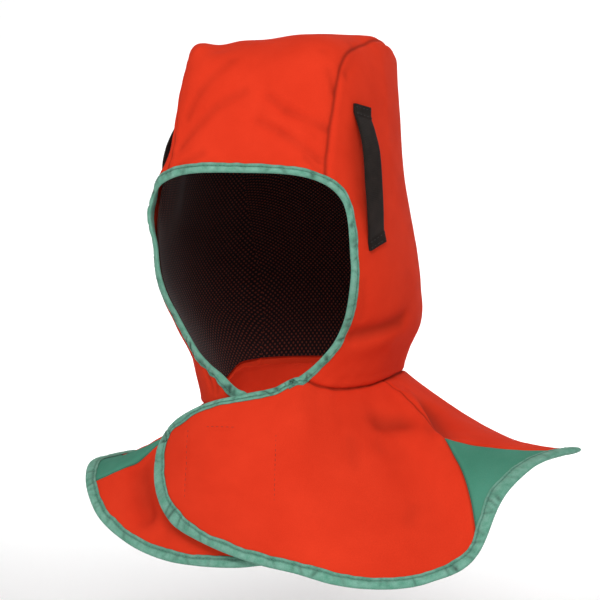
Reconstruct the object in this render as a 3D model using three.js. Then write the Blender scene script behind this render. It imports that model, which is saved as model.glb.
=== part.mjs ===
// Welding balaclava: a cloth hood with a face opening and a crossing shoulder cape.
// Millimetres, +Z up, the face looks along -Y, the wearer's left is +X.
// The origin is inside the top of the crown, where the head carries the hood.

import * as THREE from 'three';

// Thicknesses and clearances
const CLOTH = 1.0;
const SEAM_GAP = 0.5;
const TAPE = 0.8;
const TAPE_GAP = 1.05;
const TAPE_REACH = 7.2;
const TAPE_END_ANGLE = 1.6;
const TAPE_END_TURN = 1.4;
const MESH = 1.0;
const MESH_GAP = 1.75;
const WEBBING = 1.6;
const SEAT_GAP = 0.55;
const PATCH = 2.2;

// Hood cross-sections from the neck to the top: half width, centre, depths and squareness.
// taper draws the sides in towards the forehead.
const HOOD_ROWS = [
  { z: -262, half: 60.5, centre: 47, front: 110, back: 68, nFront: 2.0, nBack: 2.0, taper: 0.0 },
  { z: -236, half: 68, centre: 49, front: 110, back: 72, nFront: 2.0, nBack: 2.0, taper: 0.0 },
  { z: -217, half: 75, centre: 46, front: 107, back: 77.5, nFront: 2.0, nBack: 2.0, taper: 0.0 },
  { z: -199, half: 84, centre: 42, front: 107, back: 84, nFront: 2.0, nBack: 2.0, taper: 0.0 },
  { z: -171, half: 88, centre: 26, front: 106, back: 98, nFront: 2.2, nBack: 2.0, taper: 0.0 },
  { z: -136, half: 85, centre: 15, front: 104, back: 103, nFront: 2.6, nBack: 2.1, taper: 0.03 },
  { z: -96, half: 79, centre: 9, front: 88, back: 99, nFront: 3.8, nBack: 2.2, taper: 0.11 },
  { z: -67, half: 76, centre: 9, front: 80, back: 95, nFront: 4.6, nBack: 2.3, taper: 0.16 },
  { z: -25, half: 73, centre: 12, front: 71, back: 86, nFront: 5.0, nBack: 2.4, taper: 0.17 },
  { z: 0, half: 72, centre: 14, front: 67, back: 82, nFront: 5.0, nBack: 2.5, taper: 0.15 },
];
const CAP_DEPTH = 60;
const CAP_POWER = 4.2;
const HOOD_TOP = 3;

// Middle of each hood side, from which its mesh fans out
const FAN_Y = 45;
const FAN_Z = -150;

// Crown panel: half width of the band against the angle round the ear axis
const EAR_Y = 20;
const EAR_Z = -130;
const SEAM_ROWS = [
  { turn: 0, half: 55 },
  { turn: 40, half: 57 },
  { turn: 90, half: 58 },
  { turn: 180, half: 58 },
  { turn: 230, half: 52 },
];

// Face opening, a rounded outline seen from the front
const FACE = { z: -150, half: 70.3, rise: 57, drop: 91, nTop: 4.0, nBottom: 1.8 };
const LEFT_CORNER = -68;
const RIGHT_CORNER = -83.2;

// Cape, one row for each direction seen from above: 0 is the front, 90 the wearer's left,
// 270 the wearer's right, and past 340 the tucked front goes in under the flap.
// out: clearance off the neck ring, neckZ: upper edge, r and z: hem, swell and sag: mid bulge.
const CAPE_Y = 40;
const LOWEST_RING = -256;
const CAPE_ROWS = [
  { turn: -40, out: 31, neckZ: -268, r: 129, z: -309, swell: 3, sag: 0 },
  { turn: -31, out: 25, neckZ: -260, r: 130.5, z: -318, swell: 3, sag: 0 },
  { turn: -16, out: 13, neckZ: -247, r: 135, z: -329, swell: 5, sag: 0 },
  { turn: 1, out: 4.5, neckZ: -238.5, r: 143, z: -340.5, swell: 7, sag: 0 },
  { turn: 10, out: 2, neckZ: -235, r: 151, z: -345, swell: 7, sag: 0 },
  { turn: 19.3, out: 0, neckZ: -228.3, r: 162, z: -348.5, swell: 7, sag: 0 },
  { turn: 27, out: 0, neckZ: -233.5, r: 172, z: -351, swell: 5, sag: 0 },
  { turn: 34, out: 0, neckZ: -236.5, r: 180, z: -352, swell: 4, sag: 0 },
  { turn: 46, out: 0, neckZ: -238, r: 192, z: -349, swell: 2, sag: 0 },
  { turn: 56, out: 0, neckZ: -238, r: 197, z: -334, swell: 0, sag: -3 },
  { turn: 62, out: 0, neckZ: -238, r: 194, z: -307, swell: 0, sag: -6 },
  { turn: 71, out: 0, neckZ: -237, r: 193, z: -288, swell: 0, sag: -10 },
  { turn: 80, out: 0, neckZ: -236, r: 196, z: -281, swell: 0, sag: -11 },
  { turn: 90, out: 0, neckZ: -235, r: 203, z: -280, swell: 0, sag: -13 },
  { turn: 97, out: 0, neckZ: -234, r: 195, z: -285, swell: 0, sag: -11.5 },
  { turn: 105, out: 0, neckZ: -234, r: 181, z: -292, swell: 0, sag: -6 },
  { turn: 118, out: 0, neckZ: -234, r: 170, z: -302, swell: 0, sag: -1 },
  { turn: 134, out: 0, neckZ: -236, r: 163.5, z: -316, swell: 0, sag: 0 },
  { turn: 180, out: 0, neckZ: -236, r: 155, z: -340, swell: 0, sag: -4 },
  { turn: 226, out: 0, neckZ: -236.5, r: 150.5, z: -325, swell: 0, sag: -11 },
  { turn: 237, out: 0, neckZ: -238, r: 149, z: -315, swell: 0, sag: -13.5 },
  { turn: 250, out: 0, neckZ: -245, r: 147.5, z: -304.5, swell: 0, sag: -15 },
  { turn: 270, out: 0, neckZ: -251, r: 147, z: -301, swell: 0, sag: -13 },
  { turn: 288, out: 0, neckZ: -254.5, r: 150, z: -303, swell: 0, sag: -8 },
  { turn: 299, out: 0, neckZ: -254.5, r: 150, z: -314, swell: 0, sag: -3 },
  { turn: 309, out: 0, neckZ: -253.5, r: 147, z: -329, swell: 0, sag: -2 },
  { turn: 321, out: 0, neckZ: -251.5, r: 139, z: -342.5, swell: 2, sag: 0 },
  { turn: 336, out: 0, neckZ: -249.5, r: 132, z: -351, swell: 6, sag: 0 },
  { turn: 347.6, out: 0, neckZ: -246, r: 131, z: -352, swell: 7, sag: 0 },
  { turn: 353.9, out: 0, neckZ: -239.3, r: 132.5, z: -351.5, swell: 7.5, sag: 0 },
  { turn: 363, out: -3, neckZ: -239, r: 138, z: -349.5, swell: 8, sag: 0 },
  { turn: 372, out: -5, neckZ: -238, r: 146, z: -345.5, swell: 8, sag: 0 },
  { turn: 380, out: -5, neckZ: -238, r: 152, z: -344, swell: 8, sag: 0 },
];

// Cape seams: shoulder seam at the neck, gusset apex, gusset corners at the hem
const LEFT_SEAM = { neck: 79, apex: 70, apexAt: 0.45, frontHem: 56, backHem: 88 };
const RIGHT_SEAM = { neck: 298, apex: 303, apexAt: 0.31, frontHem: 296.5, backHem: 262 };

// Free front edges: the round end of the flap and the slanted tucked edge
const FLAP_END = { turn: -33.5, round: 13, power: 2.8, lean: 6 };
const TUCK_END = { neck: 353.9, reach: 21.5, ease: 3, round: 6, from: 0.72, power: 2.5 };

// Folds and dents: a line through the cloth, how wide, and how deep (negative is inwards)
const FOLD_ROWS = [
  { x0: 13, y0: -61, z0: -39, x1: 52, y1: -61, z1: -59, width: 8, depth: -1.6 },
  { x0: 8, y0: -67, z0: -55, x1: 51, y1: -66, z1: -80, width: 8, depth: -1.6 },
  { x0: -19, y0: -44, z0: -13, x1: -44, y1: -65, z1: -61, width: 9, depth: -1.8 },
  { x0: -6, y0: -61, z0: -36, x1: -46, y1: -67, z1: -70, width: 8, depth: -1.4 },
  { x0: -46, y0: -36, z0: -7, x1: -51, y1: -22, z1: -6, width: 9, depth: 3.5 },
  { x0: -31, y0: -34, z0: -5, x1: -58, y1: 40, z1: -4, width: 14, depth: -6.0 },
  { x0: 0, y0: -40, z0: -2, x1: -38, y1: 66, z1: 0, width: 22, depth: -4.5 },
  { x0: -63, y0: -42, z0: -22, x1: -68, y1: -54, z1: -95, width: 26, depth: -4.0 },
  { x0: -68, y0: -59, z0: -117, x1: -72, y1: -52, z1: -148, width: 11, depth: 5.0 },
  { x0: 84, y0: 20, z0: -246, x1: 118, y1: -8, z1: -272, width: 11, depth: 3.0 },
  { x0: 102, y0: 35, z0: -258, x1: 116, y1: 20, z1: -265, width: 12, depth: -2.5 },
  { x0: 84, y0: -10, z0: -256, x1: 80, y1: -32, z1: -264, width: 12, depth: -2.0 },
  { x0: -68, y0: -4, z0: -230, x1: -62, y1: -20, z1: -214, width: 9, depth: -1.4 },
  { x0: -74, y0: -12, z0: -35, x1: -78, y1: -14, z1: -110, width: 24, depth: -4.5 },
  { x0: -97, y0: -27, z0: -295, x1: -77, y1: -63, z1: -323, width: 10, depth: -4.0 },
  { x0: -77, y0: -63, z0: -323, x1: -59, y1: -76, z1: -330, width: 8, depth: -2.5 },
];

// Webbing loops: places on the side of the hood and how far they stand off it
const LOOP_WIDTH = 20;
const LOOP_ROWS = [
  { y: -27.5, z: -45.5, lift: 0 },
  { y: -28.6, z: -51, lift: 0 },
  { y: -31, z: -61, lift: 3.8 },
  { y: -34.5, z: -76, lift: 7.4 },
  { y: -38, z: -99, lift: 7.4 },
  { y: -36.5, z: -119, lift: 3.8 },
  { y: -32.5, z: -133.5, lift: 0 },
  { y: -31, z: -139, lift: 0 },
];
const FAR_LOOP_ROWS = [
  { y: -13.5, z: -45.5, lift: 0 },
  { y: -14.6, z: -51, lift: 0 },
  { y: -16, z: -60, lift: 0.2 },
  { y: -17.5, z: -68, lift: 3.8 },
  { y: -19.5, z: -77, lift: 7.0 },
  { y: -22, z: -87, lift: 7.0 },
  { y: -23.5, z: -96, lift: 3.8 },
  { y: -24, z: -106, lift: 0.8 },
  { y: -22.5, z: -119, lift: 0.7 },
  { y: -18.5, z: -133.5, lift: 0.3 },
  { y: -17, z: -139, lift: 0 },
];

// Closure patch on the inside of the flap
const CLOSURE = { from: -25, to: -3, top: 0.34, bottom: 0.7 };
const CLOSURE_GAP = 0.6;

// Mesh counts
const CROWN_ROWS = 33;
const CROWN_COLUMNS = 11;
const NECK_COUNT = 14;
const FACE_COUNT = 21;
const SIDE_RINGS = [0, 0.24, 0.46, 0.65, 0.8, 0.92, 1];
const CAPE_STEPS = [0, 0.02, 0.08, 0.18, 0.31, 0.45, 0.6, 0.75, 0.88, 0.96, 1];
const FLAP_COLUMNS = 7;
const CHEST_COLUMNS = 10;
const BACK_COLUMNS = 26;
const TUCK_COLUMNS = 14;
const GUSSET_COLUMNS = 10;
const MESH_CROWN_ROWS = 17;
const MESH_CROWN_COLUMNS = 7;
const MESH_NECK_COUNT = 9;
const MESH_FACE_COUNT = 10;
const MESH_RINGS = [0, 0.4, 0.7, 0.88, 1];
const MESH_FACE_MARGIN = 12;
const MESH_NECK_MARGIN = 6;
const MESH_LEFT_CORNER = -56;
const MESH_RIGHT_CORNER = -60;
const MESH_RELIEF = 1.8;
const CLOSURE_STEPS = 4;

const DEG = Math.PI / 180;
const RED = 0xd9401f;
const GREEN = 0x55977c;
const BLACK = 0x2b2421;
const DARK = 0x1d1314;

// Smooth curve through one column of a table
function curve(rows, key, column) {
  const k = rows.map((row) => row[key]);
  const v = rows.map((row) => row[column]);
  const last = k.length - 1;
  const step = k.slice(1).map((value, i) => value - k[i]);
  const slope = step.map((h, i) => (v[i + 1] - v[i]) / h);
  const tangent = k.map((_, i) => {
    if (i === 0) return slope[0];
    if (i === last) return slope[last - 1];
    return (slope[i - 1] * step[i] + slope[i] * step[i - 1]) / (step[i] + step[i - 1]);
  });
  return (at) => {
    const t = Math.min(Math.max(at, k[0]), k[last]);
    let i = 0;
    while (i < last - 1 && t >= k[i + 1]) i += 1;
    const h = step[i];
    const p = (t - k[i]) / h;
    const a = 2 * p ** 3 - 3 * p ** 2 + 1;
    const b = p ** 3 - 2 * p ** 2 + p;
    const c = p ** 3 - p ** 2;
    return a * v[i] + b * h * tangent[i] + (1 - a) * v[i + 1] + c * h * tangent[i + 1];
  };
}

function columns(rows, key) {
  const names = Object.keys(rows[0]).filter((name) => name !== key);
  return Object.fromEntries(names.map((name) => [name, curve(rows, key, name)]));
}

const hood = columns(HOOD_ROWS, 'z');
const seam = columns(SEAM_ROWS, 'turn');
const cape = columns(CAPE_ROWS, 'turn');

function blend(a, b, t) {
  return a + (b - a) * t;
}

function spaced(from, to, count) {
  return Array.from({ length: count }, (_, i) => blend(from, to, i / (count - 1)));
}

// Hood surface: negative inside, positive outside
function hoodLevel(p) {
  const dy = p.y - hood.centre(p.z);
  const ahead = dy < 0;
  const n = ahead ? hood.nFront(p.z) : hood.nBack(p.z);
  const depth = ahead ? hood.front(p.z) : hood.back(p.z);
  const lean = ahead ? Math.min(1, -dy / depth) : 0;
  const half = hood.half(p.z) * (1 - hood.taper(p.z) * lean);
  const reach = (Math.abs(p.x / half) ** n + Math.abs(dy / depth) ** n) ** (1 / n);
  const rise = Math.max(0, (p.z + CAP_DEPTH) / (CAP_DEPTH + HOOD_TOP));
  return reach ** CAP_POWER + rise ** CAP_POWER - 1;
}

function hoodNormal(p) {
  const h = 0.05;
  const slope = (axis) => {
    const d = new THREE.Vector3().setComponent(axis, h);
    return hoodLevel(p.clone().add(d)) - hoodLevel(p.clone().sub(d));
  };
  return new THREE.Vector3(slope(0), slope(1), slope(2)).normalize();
}

// Where a ray from inside the hood leaves it
function castToHood(from, direction) {
  let near = 0;
  let far = 260;
  for (let i = 0; i < 40; i += 1) {
    const middle = (near + far) / 2;
    const outside = hoodLevel(from.clone().addScaledVector(direction, middle)) > 0;
    if (outside) far = middle;
    else near = middle;
  }
  return from.clone().addScaledVector(direction, near);
}

function crownPoint(x, turn) {
  const a = turn * DEG;
  return castToHood(new THREE.Vector3(x, EAR_Y, EAR_Z), new THREE.Vector3(0, -Math.cos(a), Math.sin(a)));
}

function frontPoint(x, z) {
  return castToHood(new THREE.Vector3(x, hood.centre(z), z), new THREE.Vector3(0, -1, 0));
}

function sidePoint(side, y, z) {
  return castToHood(new THREE.Vector3(0, y, z), new THREE.Vector3(side, 0, 0));
}

function toHood(p) {
  const out = p.clone();
  for (let i = 0; i < 4; i += 1) {
    const n = hoodNormal(out);
    const h = 0.05;
    const grade = (hoodLevel(out.clone().addScaledVector(n, h)) - hoodLevel(out)) / h;
    out.addScaledVector(n, -hoodLevel(out) / grade);
  }
  return out;
}

// Point on the face outline, grown outwards by a margin
function faceEdge(angle, margin = 0) {
  const c = Math.cos(angle * DEG);
  const s = Math.sin(angle * DEG);
  const height = (s >= 0 ? FACE.rise : FACE.drop) + margin;
  const n = s >= 0 ? FACE.nTop : FACE.nBottom;
  const r = (Math.abs(c / (FACE.half + margin)) ** n + Math.abs(s / height) ** n) ** (-1 / n);
  return frontPoint(r * c, FACE.z + r * s);
}

// Angle on the face outline where a crown seam at half width x meets it
function faceAngle(x, margin = 0) {
  const half = FACE.half + margin;
  const rise = FACE.rise + margin;
  const z = rise * (1 - Math.abs(x / half) ** FACE.nTop) ** (1 / FACE.nTop);
  return Math.atan2(z, x) / DEG;
}

function earTurn(p) {
  return Math.atan2(p.z - EAR_Z, -(p.y - EAR_Y)) / DEG;
}

function earTurnBehind(p) {
  const turn = earTurn(p);
  return turn < 0 ? turn + 360 : turn;
}

// Cape surface: turn round the neck, and t from the neck to the hem
function capePoint(turn, t) {
  const a = turn * DEG;
  const out = new THREE.Vector3(Math.sin(a), -Math.cos(a), 0);
  const neckZ = cape.neckZ(turn);
  const ring = castToHood(new THREE.Vector3(0, CAPE_Y, Math.max(neckZ, LOWEST_RING)), out);
  const r0 = Math.hypot(ring.x, ring.y - CAPE_Y) + cape.out(turn);
  const bulge = 4 * t * (1 - t);
  const r = blend(r0, cape.r(turn), t) + cape.swell(turn) * bulge;
  const z = blend(neckZ, cape.z(turn), t) + cape.sag(turn) * bulge;
  return new THREE.Vector3(r * out.x, CAPE_Y + r * out.y, z);
}

function capeSlopes(turn, t) {
  const dTurn = 0.2;
  const dt = 0.004;
  const across = capePoint(turn + dTurn, t).sub(capePoint(turn - dTurn, t)).divideScalar(2 * dTurn);
  const down = capePoint(turn, t + dt).sub(capePoint(turn, t - dt)).divideScalar(2 * dt);
  return { across, down };
}

function capeNormal(turn, t) {
  const { across, down } = capeSlopes(turn, t);
  return down.cross(across).normalize();
}

// Step along the cape surface by a vector that lies in it
function capeStep(turn, t, move) {
  const goal = capePoint(turn, t).add(move);
  const at = { turn, t };
  for (let i = 0; i < 4; i += 1) {
    const rest = goal.clone().sub(capePoint(at.turn, at.t));
    const { across, down } = capeSlopes(at.turn, at.t);
    const aa = across.dot(across);
    const dd = down.dot(down);
    const ad = across.dot(down);
    const det = aa * dd - ad * ad;
    at.turn += (rest.dot(across) * dd - rest.dot(down) * ad) / det;
    at.t += (rest.dot(down) * aa - rest.dot(across) * ad) / det;
  }
  return at;
}

// How far the folds move the cloth at a point
function foldShift(p, rows, spread) {
  return rows.reduce((sum, row) => {
    const line = new THREE.Line3(
      new THREE.Vector3(row.x0, row.y0, row.z0),
      new THREE.Vector3(row.x1, row.y1, row.z1),
    );
    const near = line.closestPointToPoint(p, true, new THREE.Vector3());
    return sum + row.depth * Math.exp(-((p.distanceTo(near) / (row.width * spread)) ** 2));
  }, 0);
}

function folded(p, n) {
  return p.clone().addScaledVector(n, foldShift(p, FOLD_ROWS, 1));
}

// The lining passes behind the dents in a wider, smoother line
const DENT_ROWS = FOLD_ROWS.filter((row) => row.depth < 0);

function relieved(p, n) {
  return p.clone().addScaledVector(n, foldShift(p, DENT_ROWS, MESH_RELIEF));
}

// At the neck seam hood and cape share one slanted normal, so their edges stay parallel
function seamNormal(turn) {
  const p = capePoint(turn, 0);
  const a = hoodNormal(p);
  const b = capeNormal(turn, 0);
  const n = a.clone().add(b).normalize();
  return n.multiplyScalar(1 / Math.max(0.6, n.dot(a)));
}

// A patch is a list of surface points with normals, and triangles seen from outside
function patchFrom(points, normals, faces) {
  const index = new Map();
  const patch = { points: [], normals: [], faces: [] };
  const place = points.map((p, i) => {
    const key = p.toArray().map((value) => Math.round(value * 1000)).join(',');
    if (!index.has(key)) {
      index.set(key, patch.points.length);
      patch.points.push(p);
      patch.normals.push(normals[i]);
    }
    return index.get(key);
  });
  for (const face of faces) {
    const [a, b, c] = face.map((i) => place[i]);
    if (a === b || b === c || c === a) continue;
    patch.faces.push([a, b, c]);
  }
  const facing = patch.faces.reduce((sum, [a, b, c]) => {
    const ab = patch.points[b].clone().sub(patch.points[a]);
    const ac = patch.points[c].clone().sub(patch.points[a]);
    return sum + ab.cross(ac).dot(patch.normals[a]);
  }, 0);
  if (facing < 0) patch.faces = patch.faces.map(([a, b, c]) => [a, c, b]);
  return patch;
}

function gridPatch(rows, count, at) {
  const cells = [];
  for (let i = 0; i < rows; i += 1) {
    for (let j = 0; j < count; j += 1) cells.push(at(i, j));
  }
  const faces = [];
  for (let i = 0; i + 1 < rows; i += 1) {
    for (let j = 0; j + 1 < count; j += 1) {
      const a = i * count + j;
      const b = a + count;
      faces.push([a, b, a + 1]);
      faces.push([a + 1, b, b + 1]);
    }
  }
  return patchFrom(cells.map((cell) => cell.p), cells.map((cell) => cell.n), faces);
}

function joined(patches) {
  const points = [];
  const normals = [];
  const faces = [];
  for (const patch of patches) {
    const start = points.length;
    points.push(...patch.points);
    normals.push(...patch.normals);
    faces.push(...patch.faces.map((face) => face.map((i) => i + start)));
  }
  return patchFrom(points, normals, faces);
}

function geometryOf(points, triangles) {
  const geometry = new THREE.BufferGeometry();
  const flat = points.flatMap((p) => p.toArray());
  geometry.setAttribute('position', new THREE.Float32BufferAttribute(flat, 3));
  geometry.setIndex(triangles.flat());
  geometry.computeVertexNormals();
  return geometry;
}

// Give a patch a thickness, with its outline drawn in by half the seam gap
function sheet(patch, thickness, middle = 0) {
  const { points, normals, faces } = patch;
  const edges = new Set(faces.flatMap(([a, b, c]) => [`${a}_${b}`, `${b}_${c}`, `${c}_${a}`]));
  const rim = [...edges]
    .map((edge) => edge.split('_').map(Number))
    .filter(([a, b]) => !edges.has(`${b}_${a}`));
  const inwards = points.map(() => []);
  for (const [a, b] of rim) {
    const along = points[b].clone().sub(points[a]);
    inwards[a].push(normals[a].clone().cross(along).normalize());
    inwards[b].push(normals[b].clone().cross(along).normalize());
  }
  const drawn = points.map((p, i) => {
    if (inwards[i].length === 0) return p;
    const [one, two] = inwards[i];
    const scale = SEAM_GAP / 2 / Math.max(0.5, 1 + one.dot(two));
    return p.clone().addScaledVector(one, scale).addScaledVector(two, scale);
  });
  const outer = drawn.map((p, i) => p.clone().addScaledVector(normals[i], middle + thickness / 2));
  const inner = drawn.map((p, i) => p.clone().addScaledVector(normals[i], middle - thickness / 2));
  const n = points.length;
  const triangles = faces.flatMap(([a, b, c]) => [[a, b, c], [a + n, c + n, b + n]]);
  for (const [a, b] of rim) triangles.push([b, a, a + n], [b, a + n, b + n]);
  return geometryOf([...outer, ...inner], triangles);
}

// Skin through a row of sections, closed at both ends by the given cap triangles
function loft(sections, capFaces) {
  const points = sections.flat();
  const size = sections[0].length;
  const triangles = [];
  for (let i = 0; i + 1 < sections.length; i += 1) {
    for (let j = 0; j < size; j += 1) {
      const a = i * size + j;
      const b = i * size + ((j + 1) % size);
      triangles.push([a, b, b + size], [a, b + size, a + size]);
    }
  }
  const end = points.length - size;
  for (const [a, b, c] of capFaces) triangles.push([a, c, b], [a + end, b + end, c + end]);
  const volume = triangles.reduce((sum, [a, b, c]) => {
    return sum + points[a].dot(points[b].clone().cross(points[c]));
  }, 0);
  const facing = volume > 0 ? triangles : triangles.map(([a, b, c]) => [a, c, b]);
  return geometryOf(points, facing);
}

// Folded tape round a cloth edge: a U that holds the cloth between its two legs
const TAPE_CAP = [
  [0, 1, 2],
  [0, 2, 7],
  [7, 2, 3],
  [7, 3, 6],
  [6, 3, 4],
  [6, 4, 5],
];

function tapeSection({ edge, edgeNormal, inner, innerNormal, inward }) {
  const near = CLOTH / 2 + TAPE_GAP;
  const far = near + TAPE;
  const root = edge.clone().addScaledVector(inward, -TAPE_GAP);
  const rim = edge.clone().addScaledVector(inward, -TAPE_GAP - TAPE);
  const at = (p, n, offset) => p.clone().addScaledVector(n, offset);
  return [
    at(inner, innerNormal, near),
    at(inner, innerNormal, far),
    at(rim, edgeNormal, far * 0.8),
    at(rim, edgeNormal, -far * 0.8),
    at(inner, innerNormal, -far),
    at(inner, innerNormal, -near),
    at(root, edgeNormal, -near),
    at(root, edgeNormal, near),
  ];
}

// Edge directions: unit tangents by neighbours, and inwards by a sign
function inwardAlong(points, normals, sign) {
  return points.map((_, i) => {
    const before = points[Math.max(0, i - 1)];
    const after = points[Math.min(points.length - 1, i + 1)];
    return normals[i].clone().cross(after.clone().sub(before)).normalize().multiplyScalar(sign);
  });
}

// The hood

const CROWN_HALF = (() => {
  let half = SEAM_ROWS[0].half;
  for (let i = 0; i < 6; i += 1) half = seam.half(earTurn(faceEdge(faceAngle(half))));
  return half;
})();

// Outlines of the shell and of the lining, which stops short of the bindings
const SHELL_EDGE = {
  margin: 0,
  lift: 0,
  leftCorner: LEFT_CORNER,
  rightCorner: RIGHT_CORNER,
  sewn: true,
  place: folded,
};
const MESH_EDGE = {
  margin: MESH_FACE_MARGIN,
  lift: MESH_NECK_MARGIN,
  leftCorner: MESH_LEFT_CORNER,
  rightCorner: MESH_RIGHT_CORNER,
  sewn: false,
  place: relieved,
};

function crownCell(u, t, margin, lift) {
  const start = faceEdge(faceAngle(u * CROWN_HALF, margin), margin);
  const neckZ = cape.neckZ(180) + lift;
  const napeX = u * seam.half(230);
  const nape = castToHood(new THREE.Vector3(napeX, hood.centre(neckZ), neckZ), new THREE.Vector3(0, 1, 0));
  const turn = blend(earTurn(start), earTurnBehind(nape), t);
  const ease = Math.min(1, t * 6);
  const x = blend(start.x, u * seam.half(turn), ease);
  const p = t === 0 ? start : crownPoint(blend(x, napeX, Math.max(0, t * 6 - 5)), turn);
  const n = hoodNormal(p);
  return { p, n };
}

function crownPatch(rows, count, edge = SHELL_EDGE) {
  return gridPatch(rows, count, (i, j) => {
    const cell = crownCell(blend(-1, 1, j / (count - 1)), i / (rows - 1), edge.margin, edge.lift);
    const p = edge.place(cell.p, cell.n);
    if (i < rows - 1 || !edge.sewn) return { p, n: cell.n };
    const turn = Math.atan2(cell.p.x, CAPE_Y - cell.p.y) / DEG;
    return { p, n: seamNormal(turn < 0 ? turn + 360 : turn) };
  });
}

// A hood side fans out from its middle to its outline: crown seam, neck seam and face edge
function sideOutline(side, counts, edge) {
  const from = side > 0 ? edge.leftCorner : edge.rightCorner;
  const to = faceAngle(CROWN_HALF, edge.margin);
  const seamCells = spaced(0, 1, counts.seam).map((t) => crownCell(side, t, edge.margin, edge.lift));
  const corner = faceEdge(from, edge.margin);
  const cornerTurn = Math.atan2(corner.x, CAPE_Y - corner.y) / DEG;
  const nape = seamCells[counts.seam - 1].p;
  const napeTurn = Math.atan2(Math.abs(nape.x), CAPE_Y - nape.y) / DEG;
  const neckTurns = spaced(napeTurn, cornerTurn, counts.neck + 2).slice(1, -1);
  const neckCells = neckTurns.map((turn) => {
    const round = side > 0 ? turn : 360 - turn;
    const p = capePoint(round, 0);
    if (edge.sewn) return { p, n: seamNormal(round) };
    const raised = toHood(p.clone().setZ(p.z + edge.lift));
    return { p: raised, n: hoodNormal(raised) };
  });
  const faceCells = spaced(from, to, counts.face).slice(0, -1).map((angle) => {
    const p = faceEdge(angle, edge.margin);
    p.x *= side;
    return { p, n: hoodNormal(p) };
  });
  return [...seamCells, ...neckCells, ...faceCells];
}

function sidePatch(side, rings, counts, edge = SHELL_EDGE) {
  const outline = sideOutline(side, counts, edge);
  outline.push(outline[0]);
  return gridPatch(rings.length, outline.length, (i, j) => {
    const { p, n } = outline[j];
    if (i === rings.length - 1) return { p: edge.place(p, hoodNormal(p)), n };
    const y = blend(FAN_Y, p.y, rings[i]);
    const z = blend(FAN_Z, p.z, rings[i]);
    const inside = sidePoint(side, y, z);
    const normal = hoodNormal(inside);
    return { p: edge.place(inside, normal), n: normal };
  });
}

const shellCounts = { seam: CROWN_ROWS, neck: NECK_COUNT, face: FACE_COUNT };
const meshCounts = { seam: MESH_CROWN_ROWS, neck: MESH_NECK_COUNT, face: MESH_FACE_COUNT };

function meshLining() {
  const patch = joined([
    crownPatch(MESH_CROWN_ROWS, MESH_CROWN_COLUMNS, MESH_EDGE),
    sidePatch(1, MESH_RINGS, meshCounts, MESH_EDGE),
    sidePatch(-1, MESH_RINGS, meshCounts, MESH_EDGE),
  ]);
  return sheet(patch, MESH, -(CLOTH + MESH) / 2 - MESH_GAP);
}

function faceBinding() {
  const left = spaced(LEFT_CORNER, faceAngle(CROWN_HALF), FACE_COUNT);
  left[0] += TAPE_END_ANGLE;
  const front = spaced(1, -1, CROWN_COLUMNS).map((u) => faceAngle(u * CROWN_HALF));
  const mirrored = spaced(RIGHT_CORNER, faceAngle(CROWN_HALF), FACE_COUNT);
  mirrored[0] += TAPE_END_ANGLE;
  const right = mirrored.map((angle) => 180 - angle).reverse();
  const angles = [...left, ...front.slice(1, -1), ...right];
  const base = angles.map((angle) => faceEdge(angle));
  const normals = base.map(hoodNormal);
  const inward = inwardAlong(base, normals, -1);
  inward[0] = seamInto(1, base[0]);
  inward[base.length - 1] = seamInto(-1, base[base.length - 1]);
  return loft(base.map((p, i) => {
    const inner = toHood(p.clone().addScaledVector(inward[i], TAPE_REACH));
    const innerNormal = hoodNormal(inner);
    return tapeSection({
      edge: folded(p, normals[i]),
      edgeNormal: normals[i],
      inner: folded(inner, innerNormal),
      innerNormal,
      inward: inward[i],
    });
  }), TAPE_CAP);
}

// Direction along the neck seam away from a face corner, lifted clear of the seam
function seamInto(side, corner) {
  const turn = Math.atan2(Math.abs(corner.x), CAPE_Y - corner.y) / DEG;
  const further = turn + TAPE_REACH / 1.6;
  const next = capePoint(side > 0 ? further : 360 - further, 0);
  next.z += 2;
  return next.sub(corner).normalize();
}

// The cape

const gussetSteps = (line) => CAPE_STEPS.filter((t) => t >= line.apexAt);

function seamTurn(line, hemTurn, t) {
  if (t <= line.apexAt) return blend(line.neck, line.apex, t / line.apexAt);
  return blend(line.apex, hemTurn, (t - line.apexAt) / (1 - line.apexAt));
}

function roundOff(t, power) {
  return 1 - (1 - Math.abs(t) ** power) ** (1 / power);
}

function flapEnd(t) {
  const corner = FLAP_END.round * roundOff(2 * t - 1, FLAP_END.power);
  return FLAP_END.turn + corner - FLAP_END.lean * (1 - 2 * t);
}

function tuckEnd(t) {
  const corner = Math.max(0, (t - TUCK_END.from) / (1 - TUCK_END.from));
  const swing = TUCK_END.reach * (1 - (1 - t) ** TUCK_END.ease);
  return TUCK_END.neck + swing - TUCK_END.round * roundOff(corner, TUCK_END.power);
}

const leftNeckTurn = (() => {
  const corner = faceEdge(LEFT_CORNER);
  return Math.atan2(corner.x, CAPE_Y - corner.y) / DEG;
})();

function capeCell(turn, t) {
  const p = capePoint(turn, t);
  const n = capeNormal(turn, t);
  const sewn = t === 0 && turn >= leftNeckTurn && turn <= TUCK_END.neck;
  return { p: folded(p, sewn ? hoodNormal(p) : n), n: sewn ? seamNormal(turn) : n };
}

function capePatch(steps, count, startAt, endAt) {
  return gridPatch(steps.length, count + 1, (i, j) => {
    const t = steps[i];
    return capeCell(blend(startAt(t), endAt(t), j / count), t);
  });
}

const leftFront = (t) => seamTurn(LEFT_SEAM, LEFT_SEAM.frontHem, t);
const leftBack = (t) => seamTurn(LEFT_SEAM, LEFT_SEAM.backHem, t);
const rightBack = (t) => seamTurn(RIGHT_SEAM, RIGHT_SEAM.backHem, t);
const rightFront = (t) => seamTurn(RIGHT_SEAM, RIGHT_SEAM.frontHem, t);

function flapPatch() {
  const corner = () => leftNeckTurn;
  return joined([
    capePatch(CAPE_STEPS, FLAP_COLUMNS, flapEnd, corner),
    capePatch(CAPE_STEPS, CHEST_COLUMNS, corner, leftFront),
  ]);
}

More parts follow.
